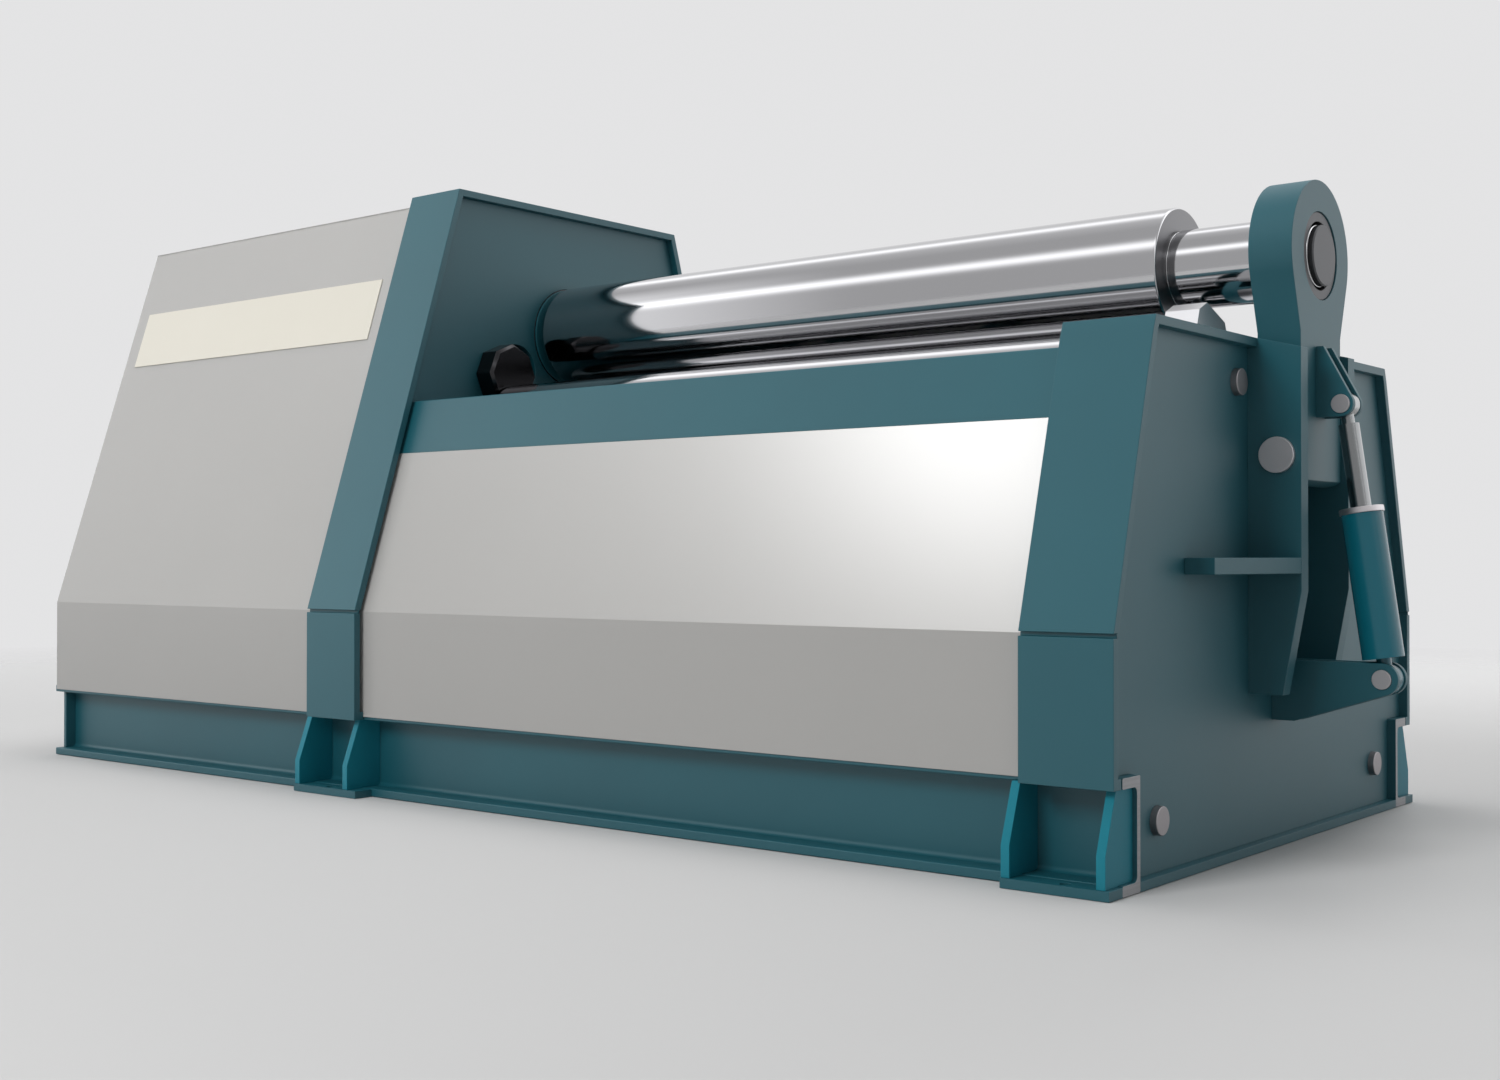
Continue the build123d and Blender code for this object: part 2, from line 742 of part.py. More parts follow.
# Cabinet frame: three portals of square tube on the beams, two top rails and two rails for a box
portal_left = cabinet_left + sheet
portal_right = drive_plate_x
portal_middle = portal_left + portal_middle_share * (portal_right - portal_left)
with BuildPart() as cabinet_frame:
    for portal_x in (portal_left, portal_middle, portal_right - portal_section):
        with BuildSketch(Plane.YZ.offset(portal_x)):
            closed_outline(*cabinet_inside)
            offset(amount=-portal_section, kind=Kind.INTERSECTION, mode=Mode.SUBTRACT)
            with Locations((0, beam_height + portal_section / 2)):
                Rectangle(2 * (panel_y - sheet - portal_section), portal_section, mode=Mode.SUBTRACT)
        extrude(amount=portal_section)
    for rail_y in (-top_rail_y, top_rail_y - portal_section):
        bar(
            (portal_left, portal_right),
            (rail_y, rail_y + portal_section),
            (cabinet_side_top - portal_section, cabinet_side_top),
        )
    for rail_z in (electrical_low, electrical_high - portal_section):
        rail_half = slope_y(rail_z + portal_section, panel_y) - sheet - portal_section
        bar(
            (portal_left, portal_left + portal_section),
            (-rail_half, rail_half),
            (rail_z, rail_z + portal_section),
        )
cabinet_frame.part.label = "cabinet_frame"
export_step(cabinet_frame.part, "parts/cabinet_frame.step")

# Bare plate on the cabinet's front slope
with BuildPart() as label_plate:
    with BuildSketch(Plane.YZ.offset(cabinet_left + label_left_inset)):
        closed_outline(
            (-slope_y(label_low, panel_y), label_low),
            (-slope_y(label_high, panel_y), label_high),
            (-slope_y(label_high, panel_y) - label_thickness, label_high),
            (-slope_y(label_low, panel_y) - label_thickness, label_low),
        )
    extrude(amount=left_stand_out - label_right_inset - cabinet_left - label_left_inset)
label_plate.part.label = "label_plate"
export_step(label_plate.part, "parts/label_plate.step")

# Left bearing of the top roll: a bronze ring in each stand plate and a sleeve between them, clear of the
# side rolls' blocks at the top of their travel
with BuildPart() as top_roll_left_bearing:
    bearing_span = (drive_plate_x, left_face_x)
    for plate_x in (drive_plate_x, left_inner_plate_x):
        plate_span = (plate_x, plate_x + plate_thickness)
        round_along_x(plate_span, 0, top_roll_z, bearing_ring_diameter - 2 * fit_clearance)
    round_along_x(bearing_span, 0, top_roll_z, top_journal_diameter + 2 * bearing_sleeve_wall)
    round_along_x(
        bearing_span, 0, top_roll_z, top_journal_diameter + 2 * running_clearance, mode=Mode.SUBTRACT
    )
top_roll_left_bearing.part.label = "top_roll_left_bearing"
export_step(top_roll_left_bearing.part, "parts/top_roll_left_bearing.step")

# Top gearbox, flanged to the drive plate, hollow where the roll's shaft enters
with BuildPart() as top_gearbox:
    flange_x = drive_plate_x - gearbox_flange
    round_along_x((flange_x, drive_plate_x), 0, top_roll_z, gearbox_flange_diameter)
    round_along_x((flange_x - top_gearbox_length, flange_x), 0, top_roll_z, top_gearbox_diameter)
    round_along_x(
        (drive_plate_x - shaft_engagement - free_clearance, drive_plate_x),
        0,
        top_roll_z,
        top_drive_shaft_diameter + 2 * running_clearance,
        mode=Mode.SUBTRACT,
    )
top_gearbox.part.label = "top_gearbox"
export_step(top_gearbox.part, "parts/top_gearbox.step")

# Hydraulic motor on the top gearbox
motor_right = drive_plate_x - gearbox_flange - top_gearbox_length
with BuildPart() as top_motor:
    round_along_x((motor_right - motor_length, motor_right), 0, top_roll_z, motor_diameter)
    fillet(top_motor.faces().sort_by(Axis.X)[0].edges(), radius=roll_edge)
top_motor.part.label = "top_motor"
export_step(top_motor.part, "parts/top_motor.step")

# Oil tank: a closed box of sheet on the cross members
tank_left = beam_left + tank_left_inset
tank_top = beam_height + tank_height
with BuildPart() as oil_tank:
    bar((tank_left, tank_left + tank_length), (-tank_half_width, tank_half_width), (beam_height, tank_top))
    offset(amount=-tank_wall, openings=[], mode=Mode.SUBTRACT)
oil_tank.part.label = "oil_tank"
export_step(oil_tank.part, "parts/oil_tank.step")

# Pump set on the tank: bell housing and upright electric motor
pump_x = tank_left + pump_inset
with BuildPart() as pump_set:
    with BuildSketch(Plane.XY.offset(tank_top)):
        with Locations((pump_x, 0)):
            Circle(bell_diameter / 2)
    extrude(amount=bell_height)
    with BuildSketch(Plane.XY.offset(tank_top + bell_height)):
        with Locations((pump_x, 0)):
            Circle(pump_motor_diameter / 2)
    extrude(amount=pump_motor_height)
    fillet(pump_set.faces().sort_by(Axis.Z)[-1].edges(), radius=roll_edge)
pump_set.part.label = "pump_set"
export_step(pump_set.part, "parts/pump_set.step")

# Valve block with its solenoids
valve_left = tank_left + valve_block_inset
with BuildPart() as valve_block:
    bar(
        (valve_left, valve_left + valve_block_length),
        (-valve_block_half_width, valve_block_half_width),
        (tank_top, tank_top + valve_block_height),
    )
    for quarter in (1, 3):
        for y_span in (
            (-valve_block_half_width - solenoid_length, -valve_block_half_width),
            (valve_block_half_width, valve_block_half_width + solenoid_length),
        ):
            round_along_y(
                y_span,
                valve_left + quarter * valve_block_length / 4,
                tank_top + valve_block_height / 2,
                solenoid_diameter,
            )
valve_block.part.label = "valve_block"
export_step(valve_block.part, "parts/valve_block.step")

# Electrical box, a closed box of sheet on the rails of the cabinet frame's left portal
with BuildPart() as electrical_box:
    electrical_x = portal_left + portal_section
    bar(
        (electrical_x, electrical_x + electrical_depth),
        (-electrical_half_width, electrical_half_width),
        (electrical_low, electrical_high),
    )
    offset(amount=-electrical_wall, openings=[], mode=Mode.SUBTRACT)
electrical_box.part.label = "electrical_box"
export_step(electrical_box.part, "parts/electrical_box.step")

# Lifting cylinders of the side rolls, each with an eye on its lower pin
right_gap_middle = right_gap_x + bearing_gap / 2
left_gap_middle = left_gap_x + bearing_gap / 2
block_thickness = bearing_gap - 2 * block_face_clearance
barrel_bore = lift_barrel_diameter - 2 * lift_barrel_wall
side_bore_start = side_barrel_start + barrel_cap
for side_name, side in (("front", -1), ("rear", 1)):
    with BuildPart() as side_cylinders:
        for gap_middle in (left_gap_middle, right_gap_middle):
            plane = side_plane(gap_middle, side)
            eye_span = (gap_middle - block_thickness / 2, gap_middle + block_thickness / 2)
            round_along_x(eye_span, side * side_pin_y, side_pin_z, lift_barrel_eye_diameter)
            round_along(plane, (0, side_barrel_end), lift_barrel_diameter)
            round_along(plane, (side_bore_start, side_barrel_end - barrel_cap), barrel_bore, Mode.SUBTRACT)
            rod_bore = piston_rod_diameter + 2 * slide_clearance
            round_along(plane, (side_bore_start, side_barrel_end + overrun), rod_bore, Mode.SUBTRACT)
            pin_bore = stand_pin_diameter + 2 * fit_clearance
            round_along_x(eye_span, side * side_pin_y, side_pin_z, pin_bore, Mode.SUBTRACT)
    side_cylinders.part.label = f"{side_name}_side_cylinders"
    export_step(side_cylinders.part, f"parts/{side_name}_side_cylinders.step")

# Lifting cylinders of the bottom roll, standing on their seats
with BuildPart() as bottom_cylinders:
    for gap_middle in (left_gap_middle, right_gap_middle):
        plane = Plane(origin=(gap_middle, 0, bottom_seat_z))
        round_along(plane, (0, bottom_barrel_height), lift_barrel_diameter)
        round_along(plane, (barrel_cap, bottom_barrel_height - barrel_cap), barrel_bore, Mode.SUBTRACT)
        rod_bore = piston_rod_diameter + 2 * slide_clearance
        round_along(plane, (barrel_cap, bottom_barrel_height + overrun), rod_bore, Mode.SUBTRACT)
bottom_cylinders.part.label = "bottom_cylinders"
export_step(bottom_cylinders.part, "parts/bottom_cylinders.step")

# Bearing blocks, bushes and piston rods of the side rolls
bush_diameter = lower_journal_diameter + 2 * bush_wall
bush_seat_diameter = bush_diameter + 2 * fit_clearance
journal_bore = lower_journal_diameter + 2 * running_clearance
block_spans = (
    (left_gap_x + block_face_clearance, left_inner_plate_x - block_face_clearance),
    (right_gap_x + block_face_clearance, end_plate_x - block_face_clearance),
)
head_left = left_face_x + head_gap
head_right = head_left + head_depth
for side_name, side in (("front", -1), ("rear", 1)):
    with BuildPart() as bearing_blocks:
        for block_span in block_spans:
            with BuildSketch(Plane.YZ.offset(block_span[0])):
                slanted_outline(
                    side,
                    (-side_block_below, side_block_above),
                    (-block_width / 2, block_width / 2),
                    block_chamfer,
                )
            extrude(amount=block_thickness)
            round_along_x(block_span, side * side_roll_y, side_roll_z, bush_seat_diameter, Mode.SUBTRACT)
        with BuildSketch(Plane.YZ.offset(block_spans[0][1])):
            SlotCenterPoint(side_point(side, neck_rise / 2), side_point(side, neck_rise), neck_width)
        extrude(amount=head_left + head_depth / 2 - block_spans[0][1])
        with BuildSketch(Plane.YZ.offset(head_left)):
            with Locations((side * head_y, head_z)):
                RegularPolygon(head_width / 2, 8, major_radius=False)
        extrude(amount=head_depth)
        head_zone = (head_right - slide_clearance, head_right + slide_clearance)
        chamfer(bearing_blocks.faces().filter_by_position(Axis.X, *head_zone).edges(), length=head_edge)
        with BuildSketch(Plane.YZ.offset(block_spans[0][1])):
            with Locations((side * side_roll_y, side_roll_z)):
                Circle(lower_journal_diameter / 2 + slide_clearance)
        extrude(amount=head_depth + bearing_gap + plate_thickness, mode=Mode.SUBTRACT)
    bearing_blocks.part.label = f"{side_name}_bearing_blocks"
    export_step(bearing_blocks.part, f"parts/{side_name}_bearing_blocks.step")

    with BuildPart() as bearing_bushes:
        for block_span in block_spans:
            round_along_x(block_span, side * side_roll_y, side_roll_z, bush_diameter)
            round_along_x(block_span, side * side_roll_y, side_roll_z, journal_bore, Mode.SUBTRACT)
    bearing_bushes.part.label = f"{side_name}_bearing_bushes"
    export_step(bearing_bushes.part, f"parts/{side_name}_bearing_bushes.step")

    with BuildPart() as piston_rods:
        rod_top = side_run - side_block_below
        rod_low = side_barrel_end - side_lift_up - side_piston_margin
        for gap_middle in (left_gap_middle, right_gap_middle):
            plane = side_plane(gap_middle, side)
            round_along(plane, (rod_low, rod_top), piston_rod_diameter)
            round_along(plane, (rod_low - piston_height, rod_low), barrel_bore - 2 * slide_clearance)
    piston_rods.part.label = f"{side_name}_piston_rods"
    export_step(piston_rods.part, f"parts/{side_name}_piston_rods.step")

# Bearing blocks, bushes and piston rods of the bottom roll
with BuildPart() as bottom_bearing_blocks:
    for block_span in block_spans:
        bar(
            block_span,
            (-block_width / 2, block_width / 2),
            (bottom_roll_z - block_half_height, bottom_roll_z + block_half_height),
        )
        round_along_x(block_span, 0, bottom_roll_z, bush_seat_diameter, Mode.SUBTRACT)
bottom_bearing_blocks.part.label = "bottom_bearing_blocks"
export_step(bottom_bearing_blocks.part, "parts/bottom_bearing_blocks.step")

with BuildPart() as bottom_bearing_bushes:
    for block_span in block_spans:
        round_along_x(block_span, 0, bottom_roll_z, bush_diameter)
        round_along_x(block_span, 0, bottom_roll_z, journal_bore, Mode.SUBTRACT)
bottom_bearing_bushes.part.label = "bottom_bearing_bushes"
export_step(bottom_bearing_bushes.part, "parts/bottom_bearing_bushes.step")

with BuildPart() as bottom_piston_rods:
    rod_top = bottom_roll_z - block_half_height - bottom_seat_z
    rod_low = barrel_cap + piston_height + bottom_piston_depth
    for gap_middle in (left_gap_middle, right_gap_middle):
        plane = Plane(origin=(gap_middle, 0, bottom_seat_z))
        round_along(plane, (rod_low, rod_top), piston_rod_diameter)
        round_along(plane, (rod_low - piston_height, rod_low), barrel_bore - 2 * slide_clearance)
bottom_piston_rods.part.label = "bottom_piston_rods"
export_step(bottom_piston_rods.part, "parts/bottom_piston_rods.step")

# Bottom drive: gearbox and motor that ride on the left bearing block, on a neck through the drive plate
neck_left = drive_plate_x - bottom_drive_gap
with BuildPart() as bottom_drive:
    gearbox_left = neck_left - bottom_gearbox_length
    round_along_x((neck_left, block_spans[0][0]), 0, bottom_roll_z, neck_width)
    round_along_x((gearbox_left, neck_left), 0, bottom_roll_z, bottom_gearbox_diameter)
    motor_span = (gearbox_left - bottom_motor_length, gearbox_left)
    round_along_x(motor_span, 0, bottom_roll_z, bottom_motor_diameter)
    round_along_x(
        (drive_plate_x - shaft_engagement, block_spans[0][0]),
        0,
        bottom_roll_z,
        lower_journal_diameter + 2 * slide_clearance,
        mode=Mode.SUBTRACT,
    )
bottom_drive.part.label = "bottom_drive"
export_step(bottom_drive.part, "parts/bottom_drive.step")

# Lower rolls: ground bodies with journals
body_right = right_stand_in - roll_end_gap
side_body_left = head_right + roll_end_gap
journal_right = end_plate_x - 2 * free_clearance
journal_left = block_spans[0][0]
for side_name, side in (("front", -1), ("rear", 1)):
    with BuildPart() as side_roll:
        body_span = (side_body_left, body_right)
        journal_span = (journal_left, journal_right)
        round_along_x(body_span, side * side_roll_y, side_roll_z, side_roll_diameter)
        chamfer(side_roll.edges().filter_by(GeomType.CIRCLE), length=roll_edge)
        round_along_x(journal_span, side * side_roll_y, side_roll_z, lower_journal_diameter)
    side_roll.part.label = f"{side_name}_side_roll"
    export_step(side_roll.part, f"parts/{side_name}_side_roll.step")

with BuildPart() as bottom_roll:
    round_along_x((left_stand_in + roll_end_gap, body_right), 0, bottom_roll_z, bottom_roll_diameter)
    chamfer(bottom_roll.edges().filter_by(GeomType.CIRCLE), length=roll_edge)
    bottom_shaft_left = drive_plate_x - shaft_engagement + free_clearance
    round_along_x((bottom_shaft_left, journal_right), 0, bottom_roll_z, lower_journal_diameter)
bottom_roll.part.label = "bottom_roll"
export_step(bottom_roll.part, "parts/bottom_roll.step")

# Top roll: body with a groove at its right shoulder, journals, and a nose tapered so the yoke can swing off
top_body_left = left_stand_in + roll_end_gap
top_body_right = right_stand_in - top_roll_right_inset
nose_start = yoke_x - overrun
nose_end = yoke_face_x - nose_end_recess
nose_points = [
    (
        yoke_x + length_share * yoke_thickness,
        top_roll_z + (nose_end_diameter + taper_share * (nose_diameter - nose_end_diameter)) / 2,
    )
    for length_share, taper_share in nose_taper_shares
]
with BuildPart() as top_roll:
    with BuildSketch(Plane.XZ):
        with BuildLine():
            Polyline(
                (drive_plate_x - shaft_engagement, top_roll_z),
                (drive_plate_x - shaft_engagement, top_roll_z + top_drive_shaft_diameter / 2),
                (drive_plate_x, top_roll_z + top_drive_shaft_diameter / 2),
                (drive_plate_x, top_roll_z + top_journal_diameter / 2),
                (top_body_left, top_roll_z + top_journal_diameter / 2),
                (top_body_left, top_roll_z + top_roll_diameter / 2 - roll_edge),
                (top_body_left + roll_edge, top_roll_z + top_roll_diameter / 2),
                (top_body_right - roll_edge, top_roll_z + top_roll_diameter / 2),
                (top_body_right, top_roll_z + top_roll_diameter / 2 - roll_edge),
                (top_body_right, top_roll_z + top_journal_diameter / 2 - shoulder_groove_depth),
                (
                    top_body_right + shoulder_groove_width,
                    top_roll_z + top_journal_diameter / 2 - shoulder_groove_depth,
                ),
                (top_body_right + shoulder_groove_width, top_roll_z + top_journal_diameter / 2),
                (nose_start, top_roll_z + top_journal_diameter / 2),
                (nose_start, top_roll_z + nose_diameter / 2),
                *nose_points,
                (nose_end, top_roll_z + nose_end_diameter / 2),
                (nose_end, top_roll_z),
                close=True,
            )
        make_face()
    revolve(axis=Axis((0, 0, top_roll_z), (1, 0, 0)))
top_roll.part.label = "top_roll"
export_step(top_roll.part, "parts/top_roll.step")

# Cheeks: two upright plates on the end plate that carry the yoke's pivot pin
pin_bore = pivot_pin_diameter + 2 * fit_clearance
with BuildPart() as yoke_cheeks:
    for inner_face, outer_face in (
        (-cheek_inner_y, -cheek_outer_y),
        (cheek_outer_y, cheek_inner_y),
    ):
        with BuildSketch(upright_plane(inner_face)):
            closed_outline(
                (end_face_x, cheek_low),
                (right_end + cheek_bottom_reach, cheek_low),
                (right_end + cheek_reach, cheek_taper_z),
                (right_end + cheek_reach, cheek_outer_top),
                (right_end, right_stand_height),
                (right_end, right_stand_height - band_thickness),
                (end_face_x, right_stand_height - band_thickness),
            )
            with Locations((pivot_x, pivot_z)):
                Circle(pin_bore / 2, mode=Mode.SUBTRACT)
        extrude(amount=cheek_thickness)
yoke_cheeks.part.label = "yoke_cheeks"
export_step(yoke_cheeks.part, "parts/yoke_cheeks.step")

# Level tapered ribs that brace the cheeks against the end plate
rib_end_y = cheek_outer_y + rib_length
with BuildPart() as cheek_ribs:
    with BuildSketch(Plane.XY.offset(rib_low)):
        for side in (-1, 1):
            closed_outline(
                (end_face_x, side * rib_end_y),
                (right_end + rib_end_reach, side * rib_end_y),
                (right_end + cheek_reach, side * cheek_outer_y),
                (end_face_x, side * cheek_outer_y),
            )
    extrude(amount=rib_thickness)
cheek_ribs.part.label = "cheek_ribs"
export_step(cheek_ribs.part, "parts/cheek_ribs.step")

# Pivot pin of the yoke, with a round head outside each cheek
with BuildPart() as yoke_pivot_pin:
    head_out_y = cheek_outer_y + pivot_head_thickness
    round_along_y((-head_out_y, head_out_y), pivot_x, pivot_z, pivot_pin_diameter)
    for y_span in ((-head_out_y, -cheek_outer_y), (cheek_outer_y, head_out_y)):
        round_along_y(y_span, pivot_x, pivot_z, pivot_head_diameter)
yoke_pivot_pin.part.label = "yoke_pivot_pin"
export_step(yoke_pivot_pin.part, "parts/yoke_pivot_pin.step")

# Bracket of the drop cylinder: two lug plates on the end plate
lug_spans = (
    (-lug_gap / 2 - lug_thickness, -lug_gap / 2),
    (lug_gap / 2, lug_gap / 2 + lug_thickness),
)
bracket_top = base_pin_z + bracket_eye_radius
bracket_corner = (right_end + bracket_flat_reach, bracket_low)
base_pin_centre = (base_pin_x, base_pin_z)
with BuildPart() as drop_cylinder_bracket:
    for y_span in lug_spans:
        with BuildSketch(upright_plane(y_span[1])):
            closed_outline(
                (end_face_x, bracket_top),
                (end_face_x, bracket_low),
                bracket_corner,
                tangent_point(base_pin_centre, bracket_eye_radius, bracket_corner, 1),
                base_pin_centre,
                (base_pin_x, bracket_top),
            )
            with Locations(base_pin_centre):
                Circle(bracket_eye_radius)
                Circle(base_pin_diameter / 2 + fit_clearance, mode=Mode.SUBTRACT)
        extrude(amount=lug_thickness)
drop_cylinder_bracket.part.label = "drop_cylinder_bracket"
export_step(drop_cylinder_bracket.part, "parts/drop_cylinder_bracket.step")

# Base pin of the drop cylinder
lug_outer_y = lug_gap / 2 + lug_thickness
with BuildPart() as drop_cylinder_base_pin:
    pin_half = lug_outer_y + lug_pin_proud
    round_along_y((-pin_half, pin_half), base_pin_x, base_pin_z, base_pin_diameter)
drop_cylinder_base_pin.part.label = "drop_cylinder_base_pin"
export_step(drop_cylinder_base_pin.part, "parts/drop_cylinder_base_pin.step")

# Yoke: one thick plate with a round head for the bearing, and an arm down to its pivot
yoke_head_centre = (0, top_roll_z)
neck_right = (yoke_arm_half_width, right_stand_height + yoke_neck_rise)
neck_left_point = (-yoke_arm_half_width, right_stand_height + yoke_neck_rise)
yoke_foot_radius = pivot_x - yoke_x
with BuildPart() as yoke:
    with BuildSketch(Plane.YZ.offset(yoke_x)):
        closed_outline(
            (-yoke_arm_half_width, pivot_z - yoke_foot_radius),
            (yoke_arm_half_width, pivot_z - yoke_foot_radius),
            neck_right,
            tangent_point(yoke_head_centre, yoke_head_radius, neck_right, 1),
            tangent_point(yoke_head_centre, yoke_head_radius, neck_left_point, -1),
            neck_left_point,
        )
        with Locations(yoke_head_centre):
            Circle(yoke_head_radius)
            Circle(yoke_bearing_diameter / 2, mode=Mode.SUBTRACT)
    extrude(amount=yoke_thickness)
    with BuildSketch(upright_plane(yoke_head_radius)):
        with Locations(((yoke_x + yoke_face_x) / 2, (pivot_z + top_roll_z + yoke_head_radius) / 2)):
            Rectangle(yoke_thickness, top_roll_z + yoke_head_radius - pivot_z)
        with Locations((pivot_x, pivot_z)):
            Circle(yoke_foot_radius)
            Circle(pivot_pin_diameter / 2 + running_clearance, mode=Mode.SUBTRACT)
    extrude(amount=2 * yoke_head_radius, mode=Mode.INTERSECT)
yoke.part.label = "yoke"
export_step(yoke.part, "parts/yoke.step")

# Bearing ring in the yoke's head
with BuildPart() as yoke_bearing:
    ring_span = (yoke_x + yoke_bearing_recess, yoke_face_x - yoke_bearing_recess)
    round_along_x(ring_span, 0, top_roll_z, yoke_bearing_diameter - fit_clearance)
    round_along_x(ring_span, 0, top_roll_z, yoke_bearing_bore, Mode.SUBTRACT)
yoke_bearing.part.label = "yoke_bearing"
export_step(yoke_bearing.part, "parts/yoke_bearing.step")

# Lug plates on the yoke's outer face, for the cylinder's rod
rod_pin_centre = (rod_pin_x, rod_pin_z)
lug_top_corner = (yoke_face_x + lug_top_reach, lug_top_z)
with BuildPart() as yoke_lugs:
    for y_span in lug_spans:
        with BuildSketch(upright_plane(y_span[1])):
            closed_outline(
                (yoke_face_x, lug_top_z),
                (yoke_face_x, rod_pin_z - lug_radius),
                (rod_pin_x, rod_pin_z - lug_radius),
                rod_pin_centre,
                tangent_point(rod_pin_centre, lug_radius, lug_top_corner, -1),
                lug_top_corner,
            )
            with Locations(rod_pin_centre):
                Circle(lug_radius)
                Circle(rod_pin_diameter / 2 + fit_clearance, mode=Mode.SUBTRACT)
        extrude(amount=lug_thickness)
yoke_lugs.part.label = "yoke_lugs"
export_step(yoke_lugs.part, "parts/yoke_lugs.step")

# Rod pin, in two short ends, one in each lug
with BuildPart() as rod_pin_ends:
    for y_span in (
        (-lug_outer_y - lug_pin_proud, -lug_gap / 2),
        (lug_gap / 2, lug_outer_y + lug_pin_proud),
    ):
        round_along_y(y_span, rod_pin_x, rod_pin_z, rod_pin_diameter)
rod_pin_ends.part.label = "rod_pin_ends"
export_step(rod_pin_ends.part, "parts/rod_pin_ends.step")

# Drop cylinder's barrel, with the eye on its base pin
drop_bore = drop_barrel_diameter - 2 * drop_barrel_wall
gland_top = drop_barrel_end + gland_height
eye_half = rod_eye_width / 2
with BuildPart() as drop_cylinder_barrel:
    round_along(drop_plane, (drop_barrel_start, drop_barrel_end), drop_barrel_diameter)
    round_along(drop_plane, (drop_barrel_start + barrel_cap, drop_barrel_end), drop_bore, Mode.SUBTRACT)
    round_along(drop_plane, (0, drop_barrel_start), barrel_neck_diameter)
    round_along_y((-eye_half, eye_half), base_pin_x, base_pin_z, 2 * barrel_eye_radius)
    round_along_y(
        (-eye_half - overrun, eye_half + overrun),
        base_pin_x,
        base_pin_z,
        base_pin_diameter + 2 * running_clearance,
        Mode.SUBTRACT,
    )
drop_cylinder_barrel.part.label = "drop_cylinder_barrel"
export_step(drop_cylinder_barrel.part, "parts/drop_cylinder_barrel.step")

# Gland ring on the barrel's upper end
with BuildPart() as drop_cylinder_gland:
    round_along(drop_plane, (drop_barrel_end, gland_top), gland_diameter)
    round_along(
        drop_plane, (drop_barrel_end, gland_top), drop_rod_diameter + 2 * slide_clearance, Mode.SUBTRACT
    )
drop_cylinder_gland.part.label = "drop_cylinder_gland"
export_step(drop_cylinder_gland.part, "parts/drop_cylinder_gland.step")

# Drop cylinder's rod, with its piston and the eye between the yoke's lugs
with BuildPart() as drop_cylinder_rod:
    round_along(drop_plane, (drop_piston_start, drop_run - rod_neck_length), drop_rod_diameter)
    round_along(
        drop_plane,
        (drop_piston_start, drop_piston_start + drop_piston_height),
        drop_bore - 2 * slide_clearance,
    )
    round_along(drop_plane, (drop_run - rod_neck_length, drop_run), rod_neck_diameter)
    round_along_y((-eye_half, eye_half), rod_pin_x, rod_pin_z, 2 * rod_eye_radius)
    round_along_y((-eye_half, eye_half), rod_pin_x, rod_pin_z, rod_eye_bore, Mode.SUBTRACT)
drop_cylinder_rod.part.label = "drop_cylinder_rod"
export_step(drop_cylinder_rod.part, "parts/drop_cylinder_rod.step")
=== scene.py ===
import math

import bmesh
import bpy
import numpy as np
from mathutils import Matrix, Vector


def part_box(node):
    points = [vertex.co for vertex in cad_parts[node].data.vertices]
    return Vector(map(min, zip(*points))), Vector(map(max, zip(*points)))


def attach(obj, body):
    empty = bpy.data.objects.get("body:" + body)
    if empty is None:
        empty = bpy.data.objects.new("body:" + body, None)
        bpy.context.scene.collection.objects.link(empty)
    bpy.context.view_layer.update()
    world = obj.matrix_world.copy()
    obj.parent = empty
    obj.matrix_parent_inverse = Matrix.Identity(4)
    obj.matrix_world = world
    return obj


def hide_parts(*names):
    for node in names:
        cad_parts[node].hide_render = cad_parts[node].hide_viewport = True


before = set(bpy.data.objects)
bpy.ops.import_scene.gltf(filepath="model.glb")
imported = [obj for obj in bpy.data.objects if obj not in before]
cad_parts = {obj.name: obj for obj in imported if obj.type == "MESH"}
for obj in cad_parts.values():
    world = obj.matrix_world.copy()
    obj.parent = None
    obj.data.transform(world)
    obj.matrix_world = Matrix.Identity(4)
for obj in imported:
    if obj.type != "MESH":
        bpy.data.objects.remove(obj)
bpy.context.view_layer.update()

# Base beams: two hot-rolled channels with parallel flanges, which stand on the floor and open outwards.
# Each root has a fillet and each toe a softer edge. They are sprayed with teal two-pack enamel, and their
# sawn ends are left bare.
web, flange, root_radius, toe_radius = 0.014, 0.022, 0.012, 0.003
arc_steps = 4


def linear(hex_colour):
    """An sRGB hex colour as the linear values that a shader takes."""
    srgb = np.array([int(hex_colour[i : i + 2], 16) for i in (0, 2, 4)]) / 255
    values = np.where(srgb <= 0.04045, srgb / 12.92, ((srgb + 0.055) / 1.055) ** 2.4)
    return (*values.tolist(), 1.0)


def add(tree, kind, inputs=None, **settings):
    """Adds a node with its settings, and gives each input a value, the link of an output, or the link of
    another node's first output."""
    node = tree.nodes.new(kind)
    for setting, value in settings.items():
        setattr(node, setting, value)
    for socket, value in (inputs or {}).items():
        if isinstance(value, bpy.types.Node):
            value = value.outputs[0]
        if isinstance(value, bpy.types.NodeSocket):
            tree.links.new(value, node.inputs[socket])
        else:
            node.inputs[socket].default_value = value
    return node


def empty_material(name):
    """A node material without nodes, and its node tree."""
    material = bpy.data.materials.new(name)
    material.use_nodes = True
    material.node_tree.nodes.clear()
    return material, material.node_tree


